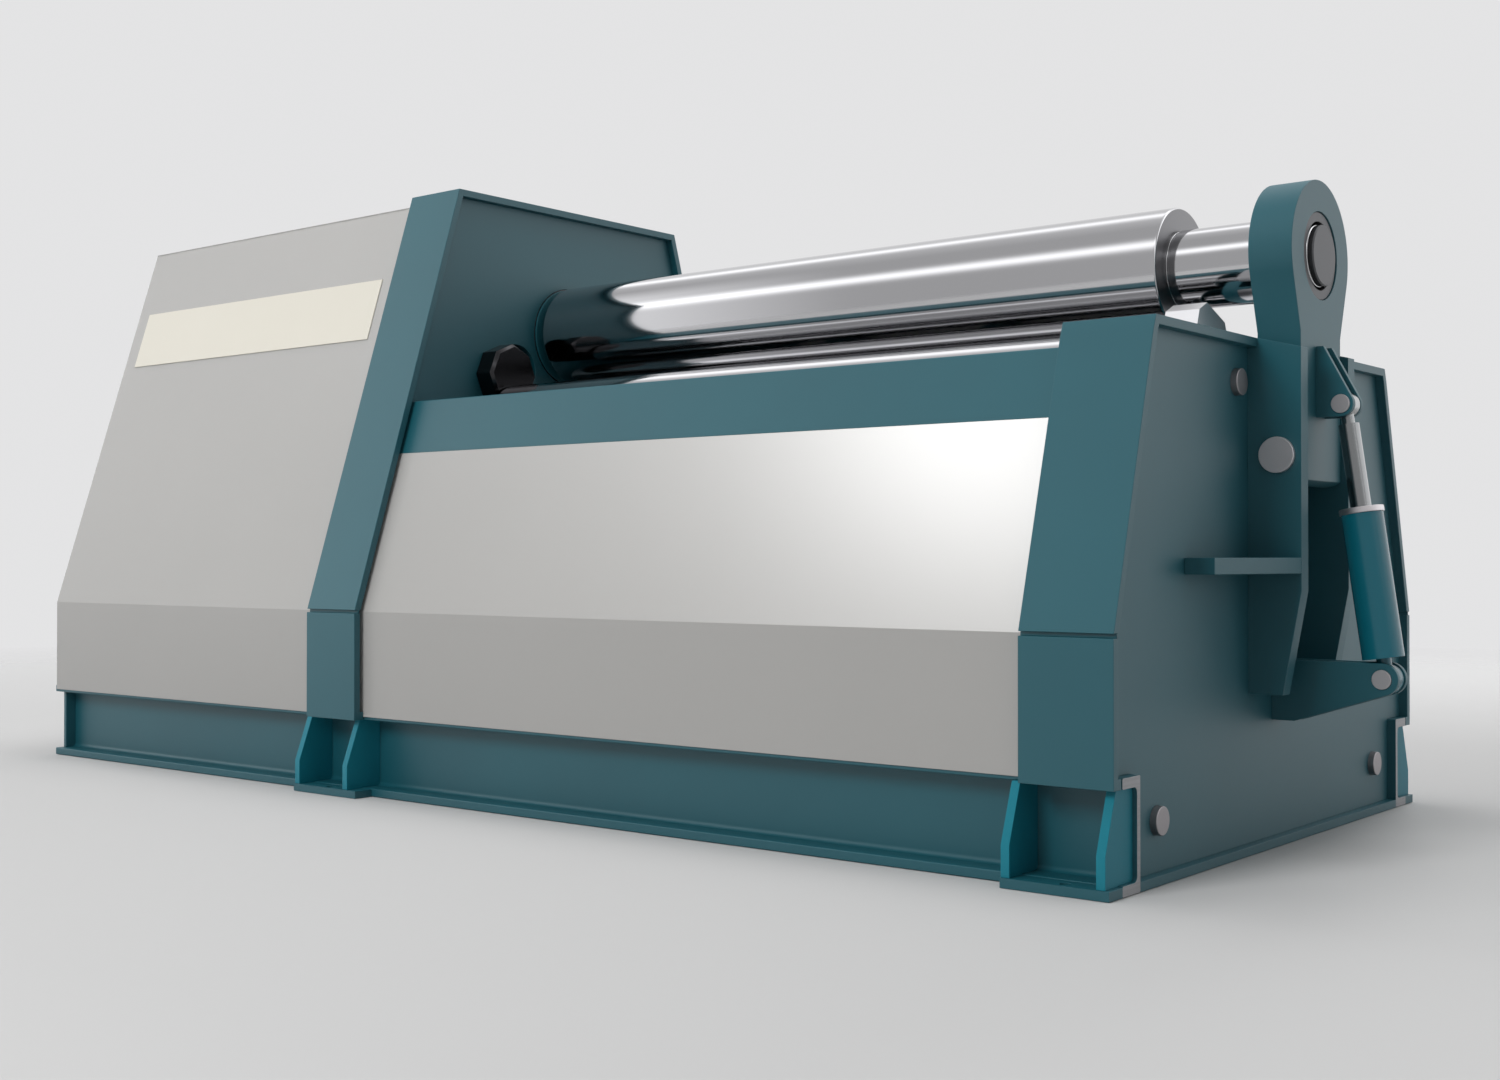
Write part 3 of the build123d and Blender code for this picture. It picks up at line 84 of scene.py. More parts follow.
def sprayed_enamel(
    name, low_hex, high_hex, roughness, cloud_mm=450, peel_mm=9, peel_depth_mm=0.04, gloss=0.5
):
    """Enamel from a spray gun: cloudy between two near colours over cloud_mm, with orange peel peel_mm
    across, and gloss as the coat's specular level. Real orange peel is 2 to 4 mm across, too fine to show
    here, so it is drawn coarser."""
    material, tree = empty_material(name)
    place = add(tree, "ShaderNodeTexCoord").outputs["Object"]
    cloud = add(tree, "ShaderNodeTexNoise", {"Vector": place, "Scale": 1000 / cloud_mm, "Detail": 3.0})
    colour = add(tree, "ShaderNodeValToRGB", {"Fac": cloud})
    for stop, hex_colour in zip(colour.color_ramp.elements, (low_hex, high_hex)):
        stop.color = linear(hex_colour)
    peel = add(tree, "ShaderNodeTexNoise", {"Vector": place, "Scale": 1000 / peel_mm, "Detail": 1.0})
    bump = add(
        tree, "ShaderNodeBump", {"Height": peel, "Strength": 0.5, "Distance": peel_depth_mm / 1000}
    )
    shader = add(
        tree,
        "ShaderNodeBsdfPrincipled",
        {"Base Color": colour, "Roughness": roughness, "Specular IOR Level": gloss, "Normal": bump},
    )
    add(tree, "ShaderNodeOutputMaterial", {"Surface": shader})
    return material


def sawn_bare_steel(name, low_hex, high_hex, stroke_mm=2.5):
    """Mild steel as the saw leaves it: metal with strokes along Y that vary its colour and roughness. Real
    strokes are about 1 mm apart, and are drawn stroke_mm apart so that they show."""
    stretch = 0.02
    material, tree = empty_material(name)
    place = add(tree, "ShaderNodeTexCoord").outputs["Object"]
    along_strokes = add(tree, "ShaderNodeMapping", {"Vector": place, "Scale": (stretch, stretch, 1.0)})
    strokes = add(
        tree, "ShaderNodeTexNoise", {"Vector": along_strokes, "Scale": 1000 / stroke_mm, "Detail": 2.0}
    )
    colour = add(tree, "ShaderNodeValToRGB", {"Fac": strokes})
    for stop, position, hex_colour in zip(colour.color_ramp.elements, (0.3, 0.7), (low_hex, high_hex)):
        stop.position = position
        stop.color = linear(hex_colour)
    rough = add(
        tree,
        "ShaderNodeMapRange",
        {"Value": strokes, "From Min": 0.3, "From Max": 0.7, "To Min": 0.5, "To Max": 0.62},
    )
    shader = add(
        tree, "ShaderNodeBsdfPrincipled", {"Base Color": colour, "Metallic": 1.0, "Roughness": rough}
    )
    add(tree, "ShaderNodeOutputMaterial", {"Surface": shader})
    return material


def rounded(corners, radii):
    """A closed outline with each corner replaced by an arc that touches both of its sides.
    For unit vectors a and b along the sides and the angle g between them, the arc's centre lies at
    radius / sin(g / 2) along a + b, and its points turn evenly from one tangent point to the other."""
    corners = np.array(corners, float)
    radii = np.broadcast_to(np.array(radii, float), len(corners))[:, None]
    to_last = np.roll(corners, 1, 0) - corners
    to_next = np.roll(corners, -1, 0) - corners
    a = to_last / np.linalg.norm(to_last, axis=1, keepdims=True)
    b = to_next / np.linalg.norm(to_next, axis=1, keepdims=True)
    angle = np.arccos(np.clip((a * b).sum(1, keepdims=True), -1, 1))
    middle = (a + b) / np.linalg.norm(a + b, axis=1, keepdims=True)
    centre = corners + middle * radii / np.sin(angle / 2)
    run = radii / np.tan(angle / 2)
    start, end = (corners + a * run - centre)[:, None], (corners + b * run - centre)[:, None]
    turn = (np.pi - angle)[:, None]
    share = np.linspace(0, 1, arc_steps + 1)[None, :, None]
    arc = (np.sin((1 - share) * turn) * start + np.sin(share * turn) * end) / np.sin(turn)
    return (centre[:, None] + arc).reshape(-1, 2)


def surface(name, grid, close_rows=False):
    """A mesh of quads over a grid of points, rows by columns by 3. The columns close on themselves. So do
    the rows if close_rows is set, and otherwise a flat face caps the first and the last row."""
    rows, columns = grid.shape[:2]
    index = np.arange(rows * columns).reshape(rows, columns)
    index = np.column_stack([index, index[:, 0]])
    if close_rows:
        index = np.vstack([index, index[:1]])
    quads = np.stack([index[:-1, :-1], index[1:, :-1], index[1:, 1:], index[:-1, 1:]], -1)
    faces = quads.reshape(-1, 4).tolist()
    if not close_rows:
        faces += [index[0, :-1].tolist(), index[-1, -2::-1].tolist()]
    mesh = bpy.data.meshes.new(name)
    mesh.from_pydata(grid.reshape(-1, 3).tolist(), [], faces)
    return mesh


def merged(name, meshes):
    """One mesh from several, with every face pointing outwards."""
    work = bmesh.new()
    for mesh in meshes:
        work.from_mesh(mesh)
        bpy.data.meshes.remove(mesh)
    bmesh.ops.recalc_face_normals(work, faces=work.faces)
    joined = bpy.data.meshes.new(name)
    work.to_mesh(joined)
    work.free()
    return joined


def finished(name, meshes, material, body, stands_for=(), ease_mm=0.0):
    """Makes a piece from meshes: outward faces, edges sharper than 40 degrees eased by ease_mm, flat faces
    that shade flat, its body and the CAD nodes that it stands for."""
    mesh = merged(name, meshes)
    mesh.materials.append(material)
    mesh.shade_smooth()
    piece = bpy.data.objects.new(name, mesh)
    bpy.context.scene.collection.objects.link(piece)
    if ease_mm:
        ease = piece.modifiers.new("eased_edges", "BEVEL")
        ease.width = ease_mm / 1000
        ease.segments = 2
        ease.limit_method = "ANGLE"
        ease.angle_limit = math.radians(40)
        ease.use_clamp_overlap = True
    weights = piece.modifiers.new("face_weighted_normals", "WEIGHTED_NORMAL")
    weights.keep_sharp = True
    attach(piece, body)
    if stands_for:
        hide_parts(*stands_for)
    return piece


def along_x(name, section, x_span):
    """A bar whose section, points in (y, z), is carried straight along X."""
    x = np.broadcast_to(np.array(x_span)[:, None], (2, len(section)))
    return surface(name, np.dstack([x, np.broadcast_to(section, (2, *section.shape))]))


def second_finish(piece, material, measure, chosen):
    """Gives a second material to the faces whose measure, normal or center, has a chosen x."""
    faces = piece.data.polygons
    values = np.empty(len(faces) * 3, np.float32)
    faces.foreach_get(measure, values)
    piece.data.materials.append(material)
    faces.foreach_set("material_index", chosen(values[::3]).astype(np.int32))


def looks_along_x(normal_x):
    """Which faces look along X, to within about 25 degrees."""
    return abs(normal_x) > 0.9


# Two-pack enamel: a satin teal, clouded by a few percent, that mirrors pale light at a flat angle.
teal_enamel = sprayed_enamel("teal_two_pack_enamel", "0F4A55", "155661", 0.52, gloss=0.75)
# Sawn mild steel: dull light grey metal with the marks of the saw across it.
sawn_steel = sawn_bare_steel("sawn_mild_steel", "858688", "959698")
for side_name, side in (("front", -1), ("rear", 1)):
    low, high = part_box(f"{side_name}_base_beam")
    inner, tip = sorted((abs(low.y), abs(high.y)))
    channel = rounded(
        [
            (side * inner, low.z),
            (side * tip, low.z),
            (side * tip, low.z + flange),
            (side * (inner + web), low.z + flange),
            (side * (inner + web), high.z - flange),
            (side * tip, high.z - flange),
            (side * tip, high.z),
            (side * inner, high.z),
        ],
        [*[toe_radius] * 3, root_radius, root_radius, *[toe_radius] * 3],
    )
    beam = finished(
        f"{side_name}_channel",
        [along_x("channel", channel, (low.x, high.x))],
        teal_enamel,
        "frame",
        [f"{side_name}_base_beam"],
        ease_mm=0.8,
    )
    second_finish(beam, sawn_steel, "normal", looks_along_x)

# Cross members with the plates that close the beams' left ends, sole plates and gussets: flame-cut plate
# with ground edges, welded to the beams. The gussets stand in the channels in line with the stands' plates.


def cut_plate(node):
    """A copy of a CAD plate with its doubled points merged and its flat faces made whole."""
    same_place, flat_within = 2e-6, math.radians(0.5)
    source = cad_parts[node].data
    points = np.empty(len(source.vertices) * 3)
    source.vertices.foreach_get("co", points)
    corners = np.empty(len(source.loops), int)
    source.loops.foreach_get("vertex_index", corners)
    copy = bpy.data.meshes.new(node)
    copy.from_pydata(points.reshape(-1, 3).tolist(), [], corners.reshape(-1, 3).tolist())
    work = bmesh.new()
    work.from_mesh(copy)
    bmesh.ops.remove_doubles(work, verts=work.verts, dist=same_place)
    bmesh.ops.dissolve_limit(work, angle_limit=flat_within, verts=work.verts, edges=work.edges)
    work.to_mesh(copy)
    work.free()
    return copy


def plate_piece(node, material, body="frame", ease_mm=1.5):
    """A CAD plate carried over with its edges ground round."""
    return finished(f"{node}_plate", [cut_plate(node)], material, body, [node], ease_mm)


# Gussets: the frame's teal enamel in a brighter, slightly duller copy, with painted light in its colour.
gusset_teal_with_painted_light = sprayed_enamel("teal_enamel_with_painted_light_for_gussets", "056C7C", "08788A", 0.56)
plate_piece("base_cross_members", teal_enamel)
plate_piece("sole_plates", teal_enamel)
plate_piece("base_gussets", gusset_teal_with_painted_light)

# Stands: two 40 mm plates each, with a rim of 20 mm flange plate bent round them and welded on. The plates
# have windows for the bearing blocks and bores for the pins. A narrow groove is left at the rims' break.
for node in (
    "left_stand_inner_plate",
    "left_stand_drive_plate",
    "right_stand_inner_plate",
    "right_stand_end_plate",
    "left_stand_rim",
    "right_stand_rim",
    "stand_lower_bands",
):
    plate_piece(node, teal_enamel)

# Seams in the grooves between the rims and the lower bands: a flat bead of weld, laid deep in the groove
# and let into both of its edges by a hair, then painted over with the stands.
seam_depth, seam_thickness, seam_height, seam_end_inset, seam_edge = 0.011, 0.007, 0.0104, 0.0003, 0.002
band_half_width, band_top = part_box("stand_lower_bands")[1].yz
stand_break = (band_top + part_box("left_stand_rim")[0].z) / 2
seam_front = band_half_width - seam_depth
seam_back = seam_front - seam_thickness
for stand in ("left", "right"):
    low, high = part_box(f"{stand}_stand_rim")
    seams = []
    for side in (-1, 1):
        corners = [
            (side * seam_back, stand_break - seam_height / 2),
            (side * seam_front, stand_break - seam_height / 2),
            (side * seam_front, stand_break + seam_height / 2),
            (side * seam_back, stand_break + seam_height / 2),
        ]
        seam_span = (low.x + seam_end_inset, high.x - seam_end_inset)
        seams.append(along_x("seam", rounded(corners, seam_edge), seam_span))
    finished(f"{stand}_stand_seams", seams, teal_enamel, "frame")

# Panels between the stands, covers above them, and the cabinet: 4 mm sheet bent on a press brake, which
# leaves a round bend of about one and a half times the sheet. Grey powder coat, with teal covers.
sheet, bend_radius, sheet_edge, cover_lip = 0.004, 0.006, 0.0008, 0.040
stand_top_half_width = 0.472
panel_foot_y = -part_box("front_panel")[0].y
stand_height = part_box("left_stand_rim")[1].z
slope = (band_half_width - stand_top_half_width) / (stand_height - stand_break)


def powder_coat(name, low_hex, high_hex, roughness):
    """Powder coat: even in colour, with a soft texture 6 mm across, drawn coarser than its real 1 mm."""
    return sprayed_enamel(
        name, low_hex, high_hex, roughness, cloud_mm=700, peel_mm=6, peel_depth_mm=0.03, gloss=0.2
    )


def folded_sheet(outer):
    """The closed section of a bent sheet: the outer line with its bends rounded, then the inner line back.
    The inner line is the outer line moved inwards along the mitre of its two neighbours at each point."""
    line = np.array(outer, float)
    along = np.diff(line, axis=0)
    along /= np.linalg.norm(along, axis=1, keepdims=True)
    normals = np.column_stack([-along[:, 1], along[:, 0]])
    before, after = np.vstack([normals[:1], normals]), np.vstack([normals, normals[-1:]])
    mitre = (before + after) / (1 + (before * after).sum(1, keepdims=True))
    inner = line + sheet * mitre
    bends = len(line) - 2
    outer_radii = [sheet_edge, *[bend_radius] * bends, sheet_edge]
    inner_radii = [sheet_edge, *[bend_radius - sheet] * bends, sheet_edge]
    return rounded(np.vstack([line, inner[::-1]]), outer_radii + inner_radii)


def slope_y(z):
    """Distance of the panels' sloped face from the middle plane at height z."""
    return panel_foot_y - slope * (z - stand_break)


# Grey powder coat: an even light grey with a soft sheen and hardly any texture.
grey_coat = powder_coat("grey_powder_coat", "A3A2A0", "A9A8A6", 0.33)
panel_sheets = []
for side_name, side in (("front", -1), ("rear", 1)):
    for node in (f"{side_name}_panel", f"cabinet_{side_name}_panel"):
        low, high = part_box(node)
        outer = [(-slope_y(high.z), high.z), (-panel_foot_y, stand_break), (-panel_foot_y, low.z)]
        panel_sheet = finished(
            f"{node}_sheet",
            [along_x("sheet", folded_sheet(outer) * (-side, 1), (low.x, high.x))],
            grey_coat,
            "frame",
            [node],
            ease_mm=0.6,
        )
        panel_sheets.append(panel_sheet)
    low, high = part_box(f"{side_name}_top_cover")
    cover_inner = min(abs(low.y), abs(high.y))
    outer = [
        (-cover_inner, high.z - cover_lip),
        (-cover_inner, high.z),
        (-slope_y(high.z), high.z),
        (-slope_y(low.z), low.z),
    ]
    finished(
        f"{side_name}_cover_sheet",
        [along_x("cover", folded_sheet(outer) * (-side, 1), (low.x, high.x))],
        teal_enamel,
        "frame",
        [f"{side_name}_top_cover"],
        ease_mm=0.6,
    )
plate_piece("cabinet_top_panel", grey_coat, ease_mm=0.8)
plate_piece("cabinet_end_panel", grey_coat, ease_mm=0.8)

# Plate on the cabinet's slope: a bare sheet, 3 mm thick, fixed flat on the grey panel, with its corners and
# edges rounded. Its cream enamel is a smooth warm white.
cream_enamel = sprayed_enamel("cream_enamel_sheet", "D8D4C7", "DCD8CC", 0.4, cloud_mm=250)
plate_piece("label_plate", cream_enamel, ease_mm=1.0)

# Cabinet frame and what stands in it: square tube and a tank in dark enamel, an electrical box in light
# powder coat, and painted cast housings. They are closed in by the cabinet and keep their CAD shapes.


def painted_casting(name, hex_colour, roughness, grain_mm=4):
    """Paint in one colour over sand-cast iron, whose grains, grain_mm across, show through the coat."""
    grain_depth_mm = 0.15
    material, tree = empty_material(name)
    place = add(tree, "ShaderNodeTexCoord").outputs["Object"]
    grains = add(tree, "ShaderNodeTexNoise", {"Vector": place, "Scale": 1000 / grain_mm, "Detail": 1.0})
    skin = add(
        tree, "ShaderNodeBump", {"Height": grains, "Strength": 0.5, "Distance": grain_depth_mm / 1000}
    )
    shader = add(
        tree,
        "ShaderNodeBsdfPrincipled",
        {"Base Color": linear(hex_colour), "Roughness": roughness, "Normal": skin},
    )
    add(tree, "ShaderNodeOutputMaterial", {"Surface": shader})
    return material


def dressed(node, material):
    """A CAD node that keeps its shape and takes a material."""
    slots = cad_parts[node].data.materials
    slots.clear()
    slots.append(material)


# Dark enamel: a smooth blue-black satin. Light powder coat: an even off-white.
dark_enamel = sprayed_enamel("dark_frame_enamel", "3A4246", "3F474B", 0.45)
light_enamel = powder_coat("light_grey_powder_coat", "C9C8C4", "CECDC9", 0.45)
# Painted cast iron: a satin grey coat over sand-cast skin, whose grains of about 4 mm roughen the light.
housing_paint = painted_casting("painted_cast_iron", "4E5559", 0.55)
for node, material in (
    ("cabinet_frame", dark_enamel),
    ("oil_tank", dark_enamel),
    ("electrical_box", light_enamel),
    ("top_gearbox", housing_paint),
    ("top_motor", housing_paint),
    ("bottom_drive", housing_paint),
    ("pump_set", housing_paint),
):
    dressed(node, material)

# Rolls: forged steel, hardened, then ground between centres and polished. The wheel leaves faint rings
# round the roll, and the surface mirrors what is near it with a slight blur. The top roll's ends are turned.
top_radius, journal_radius, stub_radius = 0.150, 0.095, 0.060
top_right_gap, roll_end_gap, side_left_gap = 0.041, 0.012, 0.058
groove_width, groove_depth = 0.010, 0.004
nose_lead, nose_radius, nose_end_radius = 0.005, 0.0765, 0.0714
nose_taper = ((0.0, 1.0), (0.020, 0.5), (0.040, 0.15), (0.064, 0.0))
side_y, side_z, side_radius = 0.290, 1.038, 0.125
bottom_z, bottom_radius, lower_journal_radius = 1.046, 0.130, 0.055


def ground_steel(name, hex_colour, roughness, ring_mm=3.0):
    """Ground and polished steel: metal in one colour whose roughness varies by two hundredths with faint
    rings round X and with haze in broad patches. The rings are drawn ring_mm apart because the real
    grinding lines are about 0.1 mm apart."""
    ring_depth_mm, stretch, patches_to_the_metre, change = 0.0002, 0.004, 6.0, 0.02
    material, tree = empty_material(name)
    place = add(tree, "ShaderNodeTexCoord").outputs["Object"]
    round_x = add(tree, "ShaderNodeMapping", {"Vector": place, "Scale": (1.0, stretch, stretch)})
    rings = add(tree, "ShaderNodeTexNoise", {"Vector": round_x, "Scale": 1000 / ring_mm, "Detail": 4.0})
    haze = add(
        tree, "ShaderNodeTexNoise", {"Vector": place, "Scale": patches_to_the_metre, "Detail": 3.0}
    )
    both = add(tree, "ShaderNodeMath", {0: rings, 1: haze}, operation="ADD")
    rough = add(
        tree,
        "ShaderNodeMapRange",
        {"Value": both, "From Max": 2.0, "To Min": roughness - change, "To Max": roughness + change},
    )
    bump = add(
        tree, "ShaderNodeBump", {"Height": rings, "Strength": 0.3, "Distance": ring_depth_mm / 1000}
    )
    shader = add(
        tree,
        "ShaderNodeBsdfPrincipled",
        {"Base Color": linear(hex_colour), "Metallic": 1.0, "Roughness": rough, "Normal": bump},
    )
    add(tree, "ShaderNodeOutputMaterial", {"Surface": shader})
    return material


def turned(name, profile, centre, around=96, hollow=False):
    """A turned shape: each point (x, r) of the profile is carried round the axis along X through centre, to
    r times the cosine of the turn across and r times its sine up. A hollow shape's profile is closed."""
    x, radius = np.array(profile, float).T[..., None]
    turn = np.linspace(0, 2 * np.pi, around, endpoint=False)
    grid = np.dstack([np.repeat(x, around, 1), radius * np.cos(turn), radius * np.sin(turn)])
    return surface(name, grid + np.array(centre), close_rows=hollow)


def shaft(corners):
    """A shaft's profile from corners of x, radius and rounding: the outline with its corners rounded, open
    a hair off the axis, where flat faces close its ends."""
    hair = 0.0005
    first_x, last_x = corners[0][0], corners[-1][0]
    outline = np.array([(first_x, hair, hair / 5), *corners, (last_x, hair, hair / 5)])
    return rounded(outline[:, :2], outline[:, 2])[arc_steps : -arc_steps - 1]


# Ground and polished forged steel: a near mirror that draws the lamps out into lines along the roll.
roll_steel = ground_steel("ground_polished_forged_steel", "C4C4C6", 0.09)
# Turned steel of the roll's end faces: a satin grey, made darker than the roll's steel by painted shade.
end_steel_with_painted_shade = ground_steel("turned_roll_end_steel_with_painted_shade", "6E6E70", 0.35)
left_rim_face, right_rim_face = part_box("left_stand_rim")[1].x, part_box("right_stand_rim")[0].x
low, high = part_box("top_roll")
top_z = high.z - top_radius
left_face, right_face = left_rim_face + roll_end_gap, right_rim_face - top_right_gap
groove_end, groove_radius = right_face + groove_width, journal_radius - groove_depth
bearing_left, yoke_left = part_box("top_roll_left_bearing")[0].x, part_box("yoke")[0].x
nose_left, nose_end = yoke_left - nose_lead, high.x
sharp = 0.0005
top_corners = [
    (low.x, stub_radius, 0.004),
    (bearing_left, stub_radius, sharp),
    (bearing_left, journal_radius, 0.003),
    (left_face, journal_radius, 0.004),
    (left_face, top_radius, 0.006),
    (right_face, top_radius, 0.006),
    (right_face, groove_radius, 0.0015),
    (groove_end, groove_radius, 0.0015),
    (groove_end, journal_radius, 0.001),
    (nose_left, journal_radius, 0.003),
    (nose_left, nose_radius, sharp),
]
for run, share in nose_taper:
    taper_radius = nose_end_radius + share * (nose_radius - nose_end_radius)
    top_corners.append((yoke_left + run, taper_radius, sharp))
top_corners.append((nose_end, nose_end_radius, 0.005))
top_roll = finished(
    "top_roll_ground",
    [turned("top", shaft(top_corners), (0, 0, top_z), around=160)],
    roll_steel,
    "top_roll_assembly",
    ["top_roll"],
)
# The roll's end faces take the turned steel with painted shade.
second_finish(top_roll, end_steel_with_painted_shade, "normal", looks_along_x)
for node, body, roll_y, roll_z, radius, left_gap in (
    ("front_side_roll", "front_roll_assembly", -side_y, side_z, side_radius, side_left_gap),
    ("rear_side_roll", "rear_roll_assembly", side_y, side_z, side_radius, side_left_gap),
    ("bottom_roll", "bottom_roll_assembly", 0.0, bottom_z, bottom_radius, roll_end_gap),
):
    low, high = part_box(node)
    body_left, body_right = left_rim_face + left_gap, right_rim_face - roll_end_gap
    lower_corners = [
        (low.x, lower_journal_radius, 0.003),
        (body_left, lower_journal_radius, 0.002),
        (body_left, radius, 0.005),
        (body_right, radius, 0.005),
        (body_right, lower_journal_radius, 0.002),
        (high.x, lower_journal_radius, 0.003),
    ]
    finished(
        f"{node}_ground",
        [turned("lower", shaft(lower_corners), (0, roll_y, roll_z), around=128)],
        roll_steel,
        body,
        [node],
    )

# Dust cover round the top roll's left journal: a flat ring of sheet on the stand's inner plate, painted
# with it. It covers the end of the journal's bearing.
cover_inner_radius, cover_outer_radius, cover_rise, cover_let_in = 0.101, 0.147, 0.0065, 0.0001
plate_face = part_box("left_stand_inner_plate")[1].x
ring_left, ring_right = plate_face - cover_let_in, plate_face + cover_rise
ring_corners = [
    (ring_left, cover_inner_radius),
    (ring_right, cover_inner_radius),
    (ring_right, cover_outer_radius),
    (ring_left, cover_outer_radius),
]
finished(
    "left_journal_dust_cover",
    [turned("cover", rounded(ring_corners, 0.001), (0, 0, top_z), hollow=True)],
    teal_enamel,
    "frame",
)

# Bearing blocks, guides and bushes: steel blocks ground on their faces, which slide between painted guides,
# with bronze bushes. The left blocks are blackened, with painted shade, and the right ones painted light.

# Blackened ground steel, darkened by painted shade: a dark grey that mirrors softly.
# Bright ground steel, lightened by painted light: a pale satin metal.
dark_steel_with_painted_shade = ground_steel("blackened_ground_steel_with_painted_shade", "3C3C3E", 0.22, ring_mm=5.0)
pale_steel_with_painted_light = ground_steel("ground_block_steel_with_painted_light", "D6D6D8", 0.3, ring_mm=5.0)
# Bearing bronze: a brown-gold satin metal.
bronze = ground_steel("bearing_bronze", "B58A55", 0.3)


def on_the_right(center_x):
    """Which faces lie in the machine's right half."""
    return center_x > 0


for node, body in (
    ("front_bearing_blocks", "front_lift"),
    ("rear_bearing_blocks", "rear_lift"),
    ("bottom_bearing_blocks", "bottom_lift"),
):
    blocks = plate_piece(node, dark_steel_with_painted_shade, body, ease_mm=1.0)
    # The blocks' faces in the right half take the pale steel with painted light.
    second_finish(blocks, pale_steel_with_painted_light, "center", on_the_right)
plate_piece("block_guides", teal_enamel, ease_mm=1.0)
# The top roll's left bearing takes the dark steel with painted shade.
plate_piece("top_roll_left_bearing", dark_steel_with_painted_shade, ease_mm=1.0)
for node in ("front_bearing_bushes", "rear_bearing_bushes", "bottom_bearing_bushes"):
    dressed(node, bronze)

# Lifting cylinders and their rods, inside the stands: gloss teal barrels and hard-chromed rods. The valve
# block on the oil tank is of machined steel, and like the cylinders it keeps its CAD shape.

# Gloss enamel: a brighter, wet-looking teal. Hard chrome: a clean mirror. Turned steel: a dull mid grey.
cylinder_enamel = sprayed_enamel("teal_gloss_cylinder_enamel", "0C6070", "0E6777", 0.26)
hard_chrome = ground_steel("hard_chrome_plate", "DADADC", 0.08)
turned_steel = ground_steel("turned_steel", "949193", 0.48)
for roll in ("front_side", "rear_side", "bottom"):
    dressed(f"{roll}_cylinders", cylinder_enamel)
for roll in ("front", "rear", "bottom"):
    dressed(f"{roll}_piston_rods", hard_chrome)
dressed("valve_block", turned_steel)

# Drop end: two flame-cut cheeks with tapered ribs, welded to the end plate, and a yoke of 100 mm plate
# that swings on a pin between them. The yoke's head holds the top roll's right end in a bearing.
for node, body in (
    ("yoke_cheeks", "frame"),
    ("cheek_ribs", "frame"),
    ("drop_cylinder_bracket", "frame"),
    ("yoke", "drop_end"),
    ("yoke_lugs", "drop_end"),
):
    plate_piece(node, teal_enamel, body)

# Pins and the cylinder's gland: turned steel bars, and a ring round the rod. The pins' ends are chamfered
# and show round in the plates that they pass through.

# Bright pin steel: a light satin metal.
pin_steel = ground_steel("bright_pin_steel", "D0CCCE", 0.5)
for node, body in (
    ("yoke_pivot_pin", "frame"),
    ("drop_cylinder_base_pin", "frame"),
    ("rod_pin_ends", "drop_end"),
    ("drop_cylinder_gland", "drop_barrel"),
):
    plate_piece(node, pin_steel, body, ease_mm=1.2)
plate_piece("stand_pins", turned_steel, ease_mm=2.0)

# Bearing in the yoke's head and disc on the top roll's nose: a turned steel ring, and a turned disc that
# spins with the roll and stands a little proud of the ring.
disc_radius, disc_chamfer, disc_rise, disc_let_in = 0.069, 0.003, 0.013, 0.0005
# Bearing steel: a dull dark grey metal.
bearing_steel = ground_steel("dull_bearing_steel", "545557", 0.5)
plate_piece("yoke_bearing", bearing_steel, "drop_end", ease_mm=2.5)
disc_corners = [
    (nose_end - disc_let_in, disc_radius, 0.0002),
    (nose_end + disc_rise - disc_chamfer, disc_radius, 0.0012),
    (nose_end + disc_rise, disc_radius - disc_chamfer, 0.0012),
]
finished(
    "nose_end_disc",
    [turned("disc", shaft(disc_corners), (0, 0, top_z))],
    bearing_steel,
    "top_roll_assembly",
)

# Drop cylinder: a welded barrel in the same gloss enamel as the lifting cylinders, which turns on its base
# pin, and a chromed rod that runs into it as the yoke opens.

# Worn hard chrome: a grey mirror, blurred by fine scratches.
rod_chrome = ground_steel("worn_hard_chrome_plate", "919394", 0.24)
plate_piece("drop_cylinder_barrel", cylinder_enamel, "drop_barrel", ease_mm=1.0)
plate_piece("drop_cylinder_rod", rod_chrome, "drop_rod", ease_mm=0.8)

# Floor: a pale matt studio floor under the machine. It keeps the machine's shadow and fades out towards
# the backdrop, so that no horizon shows.
floor_size, floor_drop, fade_start, fade_end = 60.0, 0.001, 3.6, 9.0
half = floor_size / 2
floor_corners = [(-half, -half, 0), (half, -half, 0), (half, half, 0), (-half, half, 0)]
floor_mesh = bpy.data.meshes.new("studio_floor")
floor_mesh.from_pydata(floor_corners, [], [(0, 1, 2, 3)])
floor_material, tree = empty_material("pale_studio_floor")
place = add(tree, "ShaderNodeTexCoord").outputs["Object"]
distance = add(tree, "ShaderNodeVectorMath", {0: place}, operation="LENGTH").outputs["Value"]
fade = add(tree, "ShaderNodeMapRange", {"Value": distance, "From Min": fade_start, "From Max": fade_end})
matt = add(tree, "ShaderNodeBsdfPrincipled", {"Base Color": linear("C8C8C8"), "Roughness": 0.9})
clear = add(tree, "ShaderNodeBsdfTransparent")
faded = add(tree, "ShaderNodeMixShader", {0: fade, 1: matt, 2: clear})
add(tree, "ShaderNodeOutputMaterial", {"Surface": faded})
floor_mesh.materials.append(floor_material)
floor = bpy.data.objects.new("studio_floor", floor_mesh)
bpy.context.scene.collection.objects.link(floor)
floor.location = (0, 0, -floor_drop)

